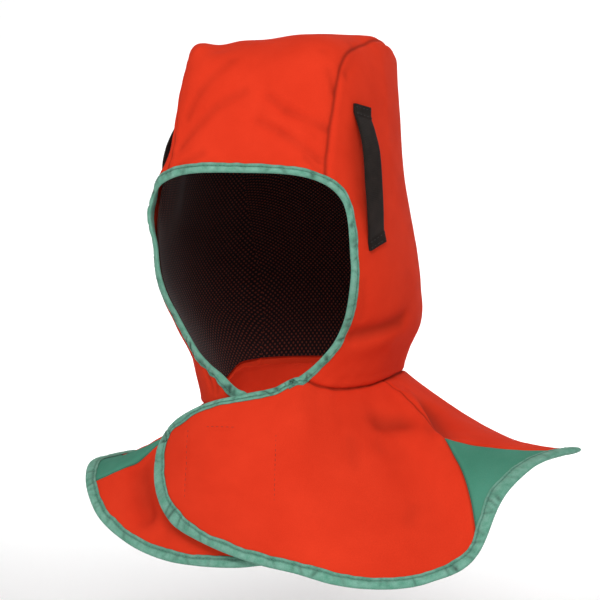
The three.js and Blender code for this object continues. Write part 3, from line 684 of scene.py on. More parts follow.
def worn(p, n, relief, seam=NO_SEAM):
    """Move the cloth by its folds, its slack and its seams, and give the painted shade of its creases and
    seams.
    """
    moved = p + n * (settled(p) + relief)[..., None]
    # Painted shade: darker the deeper the crease, and a fine dark line painted along each seam groove.
    painted_shade = np.clip(-SHADE["painted_shade"] * crease_shift(p), 0, SHADE["darkest"])
    return moved, painted_shade + SHADE["seam"] * np.exp(-((seam / SHADE["width"]) ** 2))


def neck_normal(turn):
    """At the neck seam hood and cape share one normal."""
    p = cape_point(turn, 0.0)
    a = hood_normal(p)
    n = unit(a + cape_normal(turn, 0.0))
    return n / np.maximum(LEAST_COSINE, dot(n, a))[..., None]


# Patches: points on the middle of the cloth, their normals, cloth coordinates and faces


class Patch:
    def __init__(self, points, normals, uv, faces, shade=None):
        self.points, self.normals, self.uv = points, normals, uv
        self.shade = np.zeros(len(points)) if shade is None else shade.ravel()
        self.faces = faces
        if self.facing() < 0:
            self.faces = [face[::-1] for face in faces]

    def facing(self):
        first = np.array([face[:3] for face in self.faces])
        a, b, c = (self.points[first[:, k]] for k in range(3))
        return dot(np.cross(b - a, c - a), self.normals[first[:, 0]]).sum()

    def rim(self):
        edges = set()
        for face in self.faces:
            edges.update(zip(face, face[1:] + face[:1]))
        return [(a, b) for a, b in edges if (b, a) not in edges]


def grid_faces(row_count, column_count, closed=False):
    faces = []
    span = column_count if closed else column_count - 1
    for i in range(row_count - 1):
        for j in range(span):
            k = (j + 1) % column_count
            faces.append([i * column_count + j, (i + 1) * column_count + j,
                          (i + 1) * column_count + k, i * column_count + k])
    return faces


def grid_patch(p, n, uv, shade=None):
    """Patch of a grid of points."""
    return Patch(p.reshape(-1, 3), n.reshape(-1, 3), uv.reshape(-1, 2), grid_faces(*p.shape[:2]), shade)


def tight(q, amount=0.8):
    """Spread that is close at both ends of -1 to 1."""
    return (1 - amount) * q + amount * np.sin(q * math.pi / 2)


def crown_cells(u, t):
    """Crown panel from the face edge over the top to the nape, u across and t along."""
    start = face_edge(face_angle(u * CROWN_HALF))
    neck_z = float(cape["neck_z"](180))
    nape_x = u * CROWN_SEAM["half"][-1]
    nape = cast(xyz(nape_x, hood["centre"](neck_z), neck_z), (0, 1, 0))
    turn = blend(ear_turn(start), ear_turn(nape) % 360, t)
    x = blend(start[..., 0], u * crown_half(turn), np.minimum(1, t * CROWN_EASE))
    x = blend(x, nape_x, np.maximum(0, t * CROWN_EASE - (CROWN_EASE - 1)))
    return np.where((t == 0)[..., None], start, crown_point(x, turn))


def crown_uv(u, t):
    return np.stack([u * crown_half(90) / UV_UNIT, t * CROWN_LENGTH / UV_UNIT], -1)


def cape_uv(turn, t):
    return np.stack([turn * CAPE_DEGREE / UV_UNIT, t * CAPE_LENGTH / UV_UNIT], -1)


def crown_patch():
    across = tight(np.linspace(-1, 1, CROWN_COUNTS["across"]))
    along = 0.5 + 0.5 * tight(np.linspace(-1, 1, CROWN_COUNTS["along"]), 0.5)
    t, u = np.meshgrid(along, across, indexing="ij")
    p = crown_cells(u, t)
    n = hood_normal(p)
    turn = cape_turn(p) % 360
    n[-1] = neck_normal(turn[-1])
    side = (1 - np.abs(u)) * crown_half(90)
    nape = (1 - t) * CROWN_LENGTH
    beside = seam_relief(side, t * CROWN_LENGTH + LEFT_PHASE * (u > 0))
    relief = np.where(side < nape, beside, seam_relief(nape, turn * NECK_DEGREE))
    p, shade = worn(p, n, relief, np.minimum(side, nape))
    return grid_patch(p, n, crown_uv(u, t), shade)


def fan_points(side, outline, ring):
    """Rings of points from the middle of a hood side out to its outline."""
    y = blend(FAN_Y, outline[:, 1], ring[:, None])
    z = blend(FAN_Z, outline[:, 2], ring[:, None])
    p = side_point(side, y, z)
    p[-1] = outline
    return p


def fan_patch(p, n, middle, middle_normal, shade=None):
    """Patch of such rings and the point in their middle."""
    ring_count, count = p.shape[:2]
    points = np.concatenate([p.reshape(-1, 3), middle])
    normals = np.concatenate([n.reshape(-1, 3), middle_normal])
    faces = grid_faces(ring_count, count, closed=True)
    faces += [[ring_count * count, j, (j + 1) % count] for j in range(count)]
    return Patch(points, normals, points[:, 1:] / UV_UNIT, faces, shade)


def side_patch(side):
    """A hood side fans out from its middle to the crown seam, the neck seam and the face."""
    corner_angle = LEFT_CORNER if side > 0 else RIGHT_CORNER
    seam_t = np.linspace(0, 1, SIDE_COUNTS["seam"])
    seam = crown_cells(np.full(seam_t.shape, float(side)), seam_t)
    nape_turn = float(cape_turn(seam[-1]) * side % 360)
    corner_turn = float(cape_turn(face_edge(corner_angle)))
    turns = side_turns(side, np.linspace(nape_turn, corner_turn, SIDE_COUNTS["neck"])[:-1])
    neck = cape_point(turns[1:], 0.0)
    angles = np.linspace(corner_angle, face_angle(CROWN_HALF), SIDE_COUNTS["face"])[:-1]
    outline = np.concatenate([seam, neck, face_edge(side_angles(side, angles))])
    sewn_count = len(seam) + len(neck)
    outline_normals = hood_normal(outline)
    outline_normals[len(seam) - 1:sewn_count] = neck_normal(turns)
    ring = 0.5 + 0.5 * tight(np.linspace(-1, 1, SIDE_COUNTS["ring"]))[SIDE_COUNTS["ring"] // 2 + 1:]
    ring = np.concatenate([np.linspace(0.03, 0.47, SIDE_COUNTS["middle"]), ring])
    p = fan_points(side, outline, ring)
    n = hood_normal(p)
    n[-1] = outline_normals
    reach = np.hypot(outline[:, 1] - FAN_Y, outline[:, 2] - FAN_Z)
    d = (1 - ring[:, None]) * reach
    phase = LEFT_PHASE if side > 0 else 0
    s = np.concatenate([seam_t * CROWN_LENGTH + phase, turns[1:] * NECK_DEGREE, angles * FACE_DEGREE])
    sewn = np.arange(len(outline)) < sewn_count
    relief = seam_relief(d, np.broadcast_to(s, d.shape)) * sewn
    p, shade = worn(p, n, relief, d + NO_SEAM * ~sewn)
    middle = side_point(side, FAN_Y, FAN_Z)[None]
    middle_normal = hood_normal(middle)
    middle, middle_shade = worn(middle, middle_normal, np.zeros(1))
    return fan_patch(p, n, middle, middle_normal, np.append(shade, middle_shade))


def cape_patch(start, end, column_count, first=0.0, sewn=(), box=False, row_count=CAPE_ROWS):
    """A cape panel between two lines that run from the neck to the hem."""
    spread = 0.5 + 0.5 * tight(np.linspace(-1, 1, row_count), 0.92)
    t = first + (1 - first) * spread
    across = 0.5 + 0.5 * tight(np.linspace(-1, 1, column_count))
    t, q = np.meshgrid(t, across, indexing="ij")
    turn = blend(start(t), end(t), q)
    p = cape_point(turn, t)
    n = cape_normal(turn, t)
    relief = np.zeros(t.shape)
    seam = np.full(t.shape, NO_SEAM)
    if first == 0.0:
        held = (turn[0] >= CORNER_TURN) & (turn[0] <= TUCK["neck"])
        n[0, held] = neck_normal(turn[0, held])
        near = ease(turn, (CORNER_TURN - NECK_EASE, CORNER_TURN))
        near = near * ease(turn, (TUCK["neck"] + NECK_EASE, TUCK["neck"]))
        relief += near * seam_relief(t * CAPE_DOWN, turn * NECK_DEGREE)
        seam = t * CAPE_DOWN + NO_SEAM * (near < 0.5)
    r = np.hypot(p[..., 0], p[..., 1] - CAPE_Y)
    for line in sewn:
        beside = np.abs(turn - line(t)) * r * DEG
        relief += seam_relief(beside, t * CAPE_LENGTH, PUCKER["wedge"])
        seam = np.minimum(seam, beside)
    if box:
        relief += box_relief(turn, t)
    p, shade = worn(p, n, relief, seam)
    return grid_patch(p, n, cape_uv(turn, t), shade)


def lining_strip():
    """Lining under the crown panel."""
    along = np.linspace(*LINING_T, LINING_COUNTS["along"])
    t, u = np.meshgrid(along, np.linspace(-1, 1, LINING_COUNTS["across"]), indexing="ij")
    p = crown_cells(u, t)
    n = hood_normal(p)
    return grid_patch(p + n * np.minimum(fold_shift(p), 0)[..., None], n, crown_uv(u, t))


def lining_side(side):
    """Lining of one side, from inside the face tape and above the neck seam."""
    along = np.linspace(*LINING_T, LINING_COUNTS["along"])
    seam = crown_cells(np.full(along.shape, float(side)), along)
    corner = LINING_CORNER["left" if side > 0 else "right"]
    angles = np.linspace(corner, face_angle(CROWN_HALF), LINING_COUNTS["face"])[:-1]
    edge = face_edge(side_angles(side, angles))
    away = unit(edge * (1, 0, 1) - np.array((0, 0, FACE_Z)))
    rim = to_hood(edge + away * (1, 0, 1) * LINING_MARGIN)
    low = to_hood(seam[-1][None])[0]
    ends = (float(cape_turn(low) * side % 360), float(cape_turn(rim[0] * (side, 1, 1))))
    turns = side_turns(side, np.linspace(*ends, LINING_COUNTS["neck"]))
    rise = low[2] - cape_point(turns[0], 0.0)[2]
    neck = to_hood(cape_point(turns[1:-1], 0.0) + (0, 0, rise))
    outline = np.concatenate([seam, neck, rim])
    p = fan_points(side, outline, np.linspace(0.02, 1, LINING_COUNTS["ring"]))
    middle = side_point(side, FAN_Y, FAN_Z)[None]
    patch = fan_patch(p, hood_normal(p), middle, hood_normal(middle))
    patch.points = patch.points + patch.normals * np.minimum(fold_shift(patch.points), 0)[:, None]
    return patch


def lining_patch():
    """The lining as one sheet."""
    parts = [lining_strip(), lining_side(1), lining_side(-1)]
    points = np.concatenate([part.points for part in parts])
    normals = np.concatenate([part.normals for part in parts])
    uv = np.concatenate([part.uv for part in parts])
    faces, start = [], 0
    for part in parts:
        faces += [[i + start for i in face] for face in part.faces]
        start += len(part.points)
    return Patch(points, normals, uv, faces)


def closure_patch():
    """Middle of the flap's cloth over the closure."""
    t, turn = np.meshgrid(np.linspace(CLOSURE["top"], CLOSURE["low"], CLOSURE_COUNT),
                          np.linspace(CLOSURE["start"], CLOSURE["end"], CLOSURE_COUNT), indexing="ij")
    p = cape_point(turn, t)
    n = cape_normal(turn, t)
    p = p + n * (fold_shift(p) + CLOSURE["rough"] * rumple(p, PILE_SIZE, PILE_SEED))[..., None]
    return grid_patch(p, n, cape_uv(turn, t))


# Meshes


def link_object(name, data):
    obj = bpy.data.objects.new(name, data)
    bpy.context.scene.collection.objects.link(obj)
    return obj


def make_object(name, points, faces, uv, material, sharp=50, shade=None):
    mesh = bpy.data.meshes.new(name)
    mesh.from_pydata((points * MM).tolist(), [], faces)
    layer = mesh.uv_layers.new(name="cloth")
    loops = np.empty(len(mesh.loops), int)
    mesh.loops.foreach_get("vertex_index", loops)
    layer.data.foreach_set("uv", uv[loops].astype(np.float32).ravel())
    mesh.polygons.foreach_set("use_smooth", np.ones(len(mesh.polygons), bool))
    mesh.set_sharp_from_angle(angle=sharp * DEG)
    mesh.materials.append(material)
    # Painted shade of creases, seams and tape wrinkles, kept as a point attribute that darkens the colour.
    if shade is not None:
        mesh.attributes.new("painted_shade", "FLOAT", "POINT").data.foreach_set("value", shade.astype(np.float32))
    mesh.validate()
    return link_object(name, mesh)


def sheet_object(name, patch, thickness, material, middle=0.0):
    """Give a patch its thickness."""
    count = len(patch.points)
    outer = patch.points + patch.normals * (middle + thickness / 2)
    inner = patch.points + patch.normals * (middle - thickness / 2)
    faces = [list(face) for face in patch.faces]
    faces += [[i + count for i in reversed(face)] for face in patch.faces]
    faces += [[b, a, a + count, b + count] for a, b in patch.rim()]
    uv = np.concatenate([patch.uv, patch.uv + INNER_UV])
    # Painted shade on the outside face only.
    shade = np.concatenate([patch.shade, 0 * patch.shade])
    return make_object(name, np.concatenate([outer, inner]), faces, uv, material, shade=shade)


def loft_object(name, sections, uv, material, shade=None):
    """Skin a row of closed sections and close its two ends."""
    count, size = sections.shape[:2]
    points = sections.reshape(-1, 3)
    faces = []
    for i in range(count - 1):
        for j in range(size):
            k = (j + 1) % size
            faces.append([i * size + j, i * size + k, (i + 1) * size + k, (i + 1) * size + j])
    faces.append(list(range(size))[::-1])
    faces.append([(count - 1) * size + j for j in range(size)])
    first = np.array([face[:3] for face in faces[:-2]])
    a, b, c = (points[first[:, k]] for k in range(3))
    if dot(a, np.cross(b, c)).sum() < 0:
        faces = [face[::-1] for face in faces]
    return make_object(name, points, faces, uv.reshape(-1, 2), material, 60, shade)


# Bound edges


def path_length(p):
    """Length along a path up to each of its points."""
    return np.concatenate([[0], np.cumsum(np.linalg.norm(np.diff(p, axis=0), axis=1))])


def even_path(p, step):
    """Stations of equal length along a path, as places between its points."""
    length = path_length(p)
    count = max(2, int(length[-1] / step))
    return np.interp(np.linspace(0, length[-1], count), length, np.arange(len(p)))


def sampled(v, place):
    """Values at places between the rows of an array."""
    order = np.arange(len(v))
    return np.stack([np.interp(place, order, column) for column in v.T], -1)


def tangents(p):
    return unit(np.gradient(p, axis=0))


def smoothed(v, count):
    """Running mean over a number of rows."""
    weights = np.hanning(count)
    weights /= weights.sum()
    return np.stack([np.convolve(np.pad(c, count // 2, mode="edge"), weights, "valid") for c in v.T], -1)


def wrinkles(s, a, bend, seed):
    """Short uneven folds across the tape, closer and deeper where it goes round a bend."""
    rng = np.random.default_rng(seed)
    total = np.zeros((len(s), len(a)))
    at = rng.uniform(2, 6)
    while at < s[-1]:
        strength = 0.2 + 0.95 * min(1.0, float(np.interp(at, s, bend)))
        depth = rng.uniform(-1.2, 0.55) * strength
        width = rng.uniform(0.7, 2.3)
        middle, reach = rng.uniform(-1, 9), rng.uniform(3, 10)
        where = (s[:, None] - at - rng.uniform(-0.6, 0.8) * (a[None] - 4)) / width
        total += depth * np.exp(-(where**2) - ((a[None] - middle) / reach) ** 2)
        at += rng.uniform(1.2, 9.0) / (0.5 + 1.6 * strength)
    return total


class Tape:
    """Folded tape along a cloth edge: stations, and the cloth at several reaches from the edge."""

    def __init__(self, edge, inward, reaches, seed, width, settings):
        self.inward, self.reaches, self.seed = inward, reaches, seed
        self.s = path_length(edge)
        along = tangents(edge)
        turn = np.linalg.norm(np.gradient(along, axis=0), axis=1) / np.gradient(self.s)
        mean = np.ones(BEND_COUNT) / BEND_COUNT
        self.bend = np.convolve(np.pad(turn, BEND_COUNT // 2, mode="edge"), mean, "valid") * BEND_RADIUS
        self.width = width
        for length, depth, place in zip(TAPE_NOISE["length"], TAPE_NOISE["depth"], TAPE_NOISE["place"]):
            uneven = np.array([noise.noise(Vector((v / length, seed, place))) for v in self.s])
            self.width = self.width + depth * uneven
        self.near = settings.cloth / 2 + TAPE_GAP
        self.far = self.near + settings.tape_thickness

    def cloth_at(self, a):
        """Cloth point and normal at a reach from the edge, for each station."""
        places = np.array([reach for reach, _, _ in self.reaches])
        k = np.clip(np.searchsorted(places, a, side="right") - 1, 0, len(places) - 2)
        f = np.clip((a - places[k]) / (places[k + 1] - places[k]), 0, REACH_PAST)[:, None]
        i = np.arange(len(a))
        points = np.stack([p for _, p, _ in self.reaches])
        normals = np.stack([n for _, _, n in self.reaches])
        p = blend(points[k, i], points[k + 1, i], f)
        n = unit(blend(normals[k, i], normals[k + 1, i], np.minimum(f, 1)))
        return p + self.inward * np.minimum(a, 0)[:, None], n

    def profile(self, table):
        """Reach from the edge and height over the cloth, for each row of a table."""
        height = self.near * table["near"] + self.far * table["far"] + table["lift"]
        places = zip(table["share"], table["shift"], height)
        return [(share * self.width + shift, h) for share, shift, h in places]

    def sections(self):
        """Section at each station: outside, fold, inside, and the slot with the cloth in it, and the painted
        shade of the outside.
        """
        outer = self.profile(TAPE)
        inner = [(a, -h) for a, h in reversed(outer)]
        whole = [*outer, *self.profile(TAPE_FOLD), *inner, *self.profile(TAPE_SLOT)]
        reach = np.array([float(np.mean(a)) for a, _ in outer])
        ripple = wrinkles(self.s, reach, self.bend, self.seed) * TAPE["hold"]
        found, uv, shade = [], [], []
        for k, (a, h) in enumerate(whole):
            p, n = self.cloth_at(a)
            wave = ripple[:, k] if k < len(outer) else np.zeros(len(a))
            dark = TAPE["dark"][k] if k < len(outer) else 0
            found.append(p + n * (h + np.maximum(wave, -DEEPEST_WRINKLE))[:, None])
            uv.append(np.stack([self.s / UV_UNIT, np.full(len(a), k * TAPE_UV_STEP)], -1))
            # Painted shade at the tape's edges and stitch groove, and in the valleys of its wrinkles.
            shade.append(np.clip(dark - SHADE["wrinkle"] * wave, 0, SHADE["darkest_tape"]))
        return np.stack(found, 1), np.stack(uv, 1), np.stack(shade, 1).ravel()

    def stitch_line(self):
        p, n = self.cloth_at(self.width - STITCH_BACK)
        return p + n * (self.far - STITCH_SINK), n


def tape_reaches(start, n, at):
    return [(0.0, start, n), *[(a, *at(a)) for a in TAPE_REACHES]]


def face_tape(settings):
    """Tape from under the flap up the right edge, over the brow, down the left edge and onto the flap."""
    ends = END_COUNT - 1
    angle = np.pad(np.linspace(180 - RIGHT_CORNER, LEFT_CORNER, FACE_COUNT), ends, mode="edge")
    on_cape = np.ones(len(angle), bool)
    on_cape[ends:-ends] = False
    t = np.zeros(len(angle))
    t[:ends] = np.linspace(TUCK_TAPE, 0, END_COUNT)[:-1]
    turn = cape_turn(face_edge(angle))
    turn[:ends] = tuck_end(t[:ends])
    turn[-ends:] = np.linspace(CORNER_TURN, CORNER_TURN - FLAP_TAPE, END_COUNT)[1:]
    dense = np.where(on_cape[:, None], cape_point(turn, t), face_edge(angle))
    dense_normal = np.where(on_cape[:, None], cape_normal(turn, t), hood_normal(dense))
    place = even_path(dense, TAPE_STEP)
    base = sampled(dense, place)
    n = unit(smoothed(sampled(dense_normal, place), NORMAL_COUNT))
    inward = unit(np.cross(n, tangents(smoothed(base, EDGE_COUNT))))
    if dot(inward, base - FACE_MIDDLE).mean() < 0:
        inward = -inward
    under = place < len(dense) / 2

    def at(a):
        q = base + inward * a
        on_hood = to_hood(q)
        turn_q, t_q = to_cape(q, under)
        low = ((t_q > 0) & (q[:, 2] < CAPE_BELOW))[:, None]
        t_q = np.maximum(t_q, 0)
        p = np.where(low, cape_point(turn_q, t_q), on_hood)
        normal = np.where(low, cape_normal(turn_q, t_q), hood_normal(on_hood))
        normal = unit(smoothed(normal, NORMAL_COUNT))
        return p + normal * settled(p)[:, None], normal

    start = base + n * settled(base)[:, None]
    at_angle = np.interp(place, np.arange(len(dense)), angle)
    width = settings.tape_width + FACE_WIDTH["left"]
    width = width + FACE_WIDTH["brow"] * ease(at_angle, FACE_WIDTH["brow_from"])
    temple = ease(at_angle, FACE_WIDTH["temple_from"]) * ease(at_angle, FACE_WIDTH["temple_to"])
    width = width + FACE_WIDTH["temple"] * temple
    return Tape(start, inward, tape_reaches(start, n, at), FACE_SEED, width, settings)


def hem_line():
    """Edge of the cape as turn and t, from the left face corner round to the tucked edge."""
    down = (1 - np.cos(np.linspace(0, math.pi, HEM_COUNTS["end"]))) / 2
    up = down[::-1]
    top = np.linspace(CORNER_TURN + HEM_START, flap_end(0.0), HEM_COUNTS["top"])
    hem = np.linspace(flap_end(1.0), tuck_end(1.0), HEM_COUNTS["hem"])
    parts = [
        np.stack([top, np.zeros_like(top)], -1),
        np.stack([flap_end(down), down], -1)[1:],
        np.stack([hem, np.ones_like(hem)], -1)[1:],
        np.stack([tuck_end(up), up], -1)[1:-HEM_COUNTS["left_off"]],
    ]
    return np.concatenate(parts)


def hem_tape(settings):
    """Tape along the flap's top edge, round its end, along the hem and up the tucked edge."""
    line = hem_line()
    place = even_path(cape_point(line[:, 0], line[:, 1]), TAPE_STEP)
    turn, t = sampled(line, place).T
    base = cape_point(turn, t)
    n = cape_normal(turn, t)
    inward = unit(np.cross(n, tangents(base)))

    def at(a):
        turn_a, t_a = cape_step(turn, t, inward * a)
        p = cape_point(turn_a, t_a)
        normal = cape_normal(turn_a, t_a)
        return p + normal * settled(p)[:, None], normal

    start = base + n * settled(base)[:, None]
    width = settings.tape_width
    for more, by_turn, by_end, by_t in HEM_WIDTHS:
        width = width + more * ease(turn, by_turn) * ease(turn, by_end) * ease(t, by_t)
    return Tape(start, inward, tape_reaches(start, n, at), HEM_SEED, width, settings)


# Webbing loops


def loop_path(side):
    """Stations along the webbing: middle, normal, direction across, and lift off the hood."""
    table = LOOP if side > 0 else FAR_LOOP
    k = np.arange(len(table["y"]), dtype=float)
    at = np.linspace(0, k[-1], LOOP_COUNT)
    y, z, lift = (curve({"k": k, c: table[c]}, "k", c)(at) for c in ("y", "z", "lift"))
    base = side_point(side, y, z)
    n = hood_normal(base)
    return base, n, unit(np.cross(n, tangents(base))), np.maximum(lift, 0)


def loop_sections(side, settings):
    base, n, across, lift = loop_path(side)
    feet = []
    for reach in (-0.5, 0.5):
        foot = to_hood(base + across * reach * settings.webbing_width)
        feet.append(foot + hood_normal(foot) * fold_shift(foot)[:, None])
    rest = n * (settings.cloth / 2 + LOOP_GAP + lift)[:, None]
    left, right = feet[0] + rest, feet[1] + rest
    s = path_length((left + right) / 2)
    up = unit(np.cross(tangents((left + right) / 2), right - left))
    up = up * np.sign(dot(up, n))[:, None]
    double = ease(s, TURNED_END["first"]) + ease(s - s[-1], TURNED_END["last"])
    thick = settings.webbing_thickness * (1 + TURNED_END["more"] * double)
    points, uv = [], []
    for a, b in zip(WEBBING["across"], WEBBING["up"]):
        points.append(blend(left, right, (a + 1) / 2) + up * (thick * b)[:, None])
        uv_across = np.full(len(s), a * settings.webbing_width / 2 / UV_UNIT)
        uv.append(np.stack([uv_across, s / UV_UNIT + (0.5 if b < 0.5 else 0)], -1))
    return np.stack(points, 1), np.stack(uv, 1), (left, right, up, s, thick)


# Materials


def node(tree, kind, place, **values):
    made = tree.nodes.new(kind)
    made.location = place
    for key, value in values.items():
        setattr(made, key, value)
    return made


def set_inputs(made, **values):
    for key, value in values.items():
        made.inputs[key.replace("_", " ")].default_value = value
    return made


def wire(tree, *links):
    """Join sockets, each link given as a node, its output, the next node and its input."""
    for source, output, target, entry in links:
        tree.links.new(source.outputs[output], target.inputs[entry])


def effect_group(name, inputs, output):
    """An empty shader group with named sockets."""
    tree = bpy.data.node_groups.new(name, "ShaderNodeTree")
    for socket, kind, default in inputs:
        made = tree.interface.new_socket(name=socket, in_out="INPUT", socket_type="NodeSocket" + kind)
        if default is not None:
            made.default_value = default
    tree.interface.new_socket(name=output[0], in_out="OUTPUT", socket_type="NodeSocket" + output[1])
    return tree, node(tree, "NodeGroupInput", (-900, 0)), node(tree, "NodeGroupOutput", (700, 0))


def twill_group():
    """Diagonal ribs of a twill with uneven yarns, as a height."""
    tree, given, result = effect_group(
        "Twill ribs",
        [("Cloth", "Vector", None), ("Ribs", "Float", 60.0), ("Yarn", "Float", 260.0)],
        ("Height", "Float"),
    )
    wave = node(tree, "ShaderNodeTexWave", (-500, 200), wave_type="BANDS", bands_direction="DIAGONAL")
    set_inputs(wave, Distortion=1.4, Detail=1.0, Detail_Scale=2.0)
    yarn = node(tree, "ShaderNodeTexNoise", (-500, -150))
    set_inputs(yarn, Detail=2.0, Roughness=0.6)
    mix = node(tree, "ShaderNodeMath", (0, 100), operation="MULTIPLY_ADD")
    mix.inputs[1].default_value = 0.55
    wire(
        tree,
        (given, "Cloth", wave, "Vector"),
        (given, "Cloth", yarn, "Vector"),
        (given, "Ribs", wave, "Scale"),
        (given, "Yarn", yarn, "Scale"),
        (wave, "Fac", mix, 0),
        (yarn, "Fac", mix, 2),
        (mix, 0, result, "Height"),
    )
    return tree


def tone_and_shade_group():
    """Uneven dye: broad clouds and a fine fleck between two tones, with painted shade that darkens it in
    creases, seams and tape wrinkles.
    """
    tree, given, result = effect_group(
        "Dye tone and painted shade",
        [("Cloth", "Vector", None), ("Deep", "Color", None), ("Light", "Color", None),
         ("Clouds", "Float", 3.0), ("Flecks", "Float", 140.0), ("Painted shade", "Float", 0.0)],
        ("Color", "Color"),
    )
    clouds = node(tree, "ShaderNodeTexNoise", (-600, 200))
    set_inputs(clouds, Detail=3.0, Roughness=0.55)
    flecks = node(tree, "ShaderNodeTexNoise", (-600, -150))
    set_inputs(flecks, Detail=2.0, Roughness=0.7)
    add = node(tree, "ShaderNodeMath", (-300, 100), operation="MULTIPLY_ADD")
    add.inputs[1].default_value = 0.6
    spread = node(tree, "ShaderNodeMapRange", (-100, 100))
    set_inputs(spread, From_Min=0.55, From_Max=1.05)
    mix = node(tree, "ShaderNodeMix", (150, 100), data_type="RGBA")
    # Painted shade: mixes the dye toward near black by the painted shade input.
    dark = node(tree, "ShaderNodeMix", (400, 100), data_type="RGBA")
    dark.inputs[7].default_value = (0.012, 0.008, 0.006, 1)
    wire(
        tree,
        (given, "Cloth", clouds, "Vector"),
        (given, "Cloth", flecks, "Vector"),
        (given, "Clouds", clouds, "Scale"),
        (given, "Flecks", flecks, "Scale"),
        (flecks, "Fac", add, 0),
        (clouds, "Fac", add, 2),
        (add, 0, spread, "Value"),
        (spread, "Result", mix, "Factor"),
        (given, "Deep", mix, 6),
        (given, "Light", mix, 7),
        (given, "Painted shade", dark, "Factor"),
        (mix, 2, dark, 6),
        (dark, 2, result, "Color"),
    )
    return tree


def group_node(tree, name, build, place, **values):
    made = node(tree, "ShaderNodeGroup", place)
    made.node_tree = bpy.data.node_groups.get(name) or build()
    return set_inputs(made, **values)


def dye(tree, shader, place, output, deep, light, **values):
    """Colour a shader by uneven dye between two tones, in a group that also takes painted shade."""
    tone = group_node(tree, "Dye tone and painted shade", tone_and_shade_group, (-700, 150), Deep=(*deep, 1), Light=(*light, 1), **values)
    wire(tree, (place, output, tone, "Cloth"), (tone, "Color", shader, "Base Color"))
    return tone


def plain_material(name, **values):
    material = bpy.data.materials.new(name)
    material.use_nodes = True
    tree = material.node_tree
    return material, tree, set_inputs(tree.nodes["Principled BSDF"], **values)


def cloth_material(name, roughness, sheen):
    material, tree, shader = plain_material(name, Roughness=roughness)
    set_inputs(shader, Sheen_Weight=sheen, Sheen_Roughness=0.45)
    shader.inputs["Specular IOR Level"].default_value = 0.04
    return material, tree, shader, node(tree, "ShaderNodeUVMap", (-1100, 0), uv_map="cloth")


def add_bump(tree, shader, source, output, strength, distance):
    bump = node(tree, "ShaderNodeBump", (-250, -300))
    set_inputs(bump, Strength=strength, Distance=distance)
    wire(tree, (source, output, bump, "Height"), (bump, "Normal", shader, "Normal"))


def twill_material(name, deep, light, clouds=3.0, ribs=62.0, sheen=0.0):
    made = bpy.data.materials.get(name)
    if made:
        return made
    made, tree, shader, place = cloth_material(name, 0.88, sheen)
    weave = group_node(tree, "Twill ribs", twill_group, (-700, -250), Ribs=ribs)
    tone = dye(tree, shader, place, "UV", deep, light, Clouds=clouds)
    # Painted shade of creases, seams and tape wrinkles, read from the mesh.
    painted_shade = node(tree, "ShaderNodeAttribute", (-1100, 300), attribute_name="painted_shade")
    wire(tree, (painted_shade, "Fac", tone, "Painted shade"), (place, "UV", weave, "Cloth"))
    add_bump(tree, shader, weave, "Height", 0.35, 0.00035)
    return made


def webbing_material(deep, light):
    made, tree, shader, place = cloth_material("Loop webbing", 0.75, 0.04)
    wave = node(tree, "ShaderNodeTexWave", (-700, -250), wave_type="BANDS", bands_direction="Y")
    set_inputs(wave, Scale=26.0, Distortion=0.6, Detail=1.0)
    dye(tree, shader, place, "UV", deep, light, Clouds=9.0, Flecks=220.0)
    wire(tree, (place, "UV", wave, "Vector"))
    add_bump(tree, shader, wave, "Fac", 0.25, 0.0004)
    return made


def mesh_material(dark, shaded_hole):
    """Dark knit mesh with the shell showing through its holes in a dark red, partly the shell's colour and
    partly painted shade.
    """
    made, tree, shader, place = cloth_material("Knit mesh", 0.85, 0.1)
    turn = node(tree, "ShaderNodeMapping", (-900, 0))
    turn.inputs["Rotation"].default_value = (0, 0, math.pi / 4)
    cells = node(tree, "ShaderNodeTexVoronoi", (-650, 0), feature="F1")
    set_inputs(cells, Scale=42.0, Randomness=0.06)
    holes = node(tree, "ShaderNodeMapRange", (-420, 0))
    set_inputs(holes, From_Min=0.34, From_Max=0.2)
    mix = node(tree, "ShaderNodeMix", (-200, 150), data_type="RGBA")
    mix.inputs[6].default_value = (*dark, 1)
    mix.inputs[7].default_value = (*shaded_hole, 1)
    wire(
        tree,
        (place, "UV", turn, "Vector"),
        (turn, "Vector", cells, "Vector"),
        (cells, "Distance", holes, "Value"),
        (holes, "Result", mix, "Factor"),
        (mix, 2, shader, "Base Color"),
    )
    add_bump(tree, shader, cells, "Distance", 0.6, 0.0008)
    return made


def pile_material(deep, light):
    made, tree, shader, place = cloth_material("Closure pile", 0.95, 0.3)
    pile = node(tree, "ShaderNodeTexNoise", (-700, -250))
    set_inputs(pile, Scale=110.0, Detail=3.0, Roughness=0.7)
    dye(tree, shader, place, "UV", deep, light, Clouds=12.0)
    wire(tree, (place, "UV", pile, "Vector"))
    add_bump(tree, shader, pile, "Fac", 0.8, 0.0012)
    return made


def red_cloth(settings):
    return twill_material("Red twill", settings.red_deep, settings.red_light)


def green_cloth(settings):
    return twill_material("Green twill", settings.green_deep, settings.green_light)


def green_tape(settings):
    deep, light = settings.tape_deep, settings.tape_light
    return twill_material("Green tape", deep, light, clouds=16.0, ribs=70.0, sheen=0.08)


def thread(name, light):
    made, tree, shader = plain_material(name, Roughness=0.8)
    place = node(tree, "ShaderNodeTexCoord", (-900, 0))
    dye(tree, shader, place, "Object", [v * 0.8 for v in light], light, Clouds=60.0, Flecks=2400.0)
    return made


# Stitches by geometry nodes


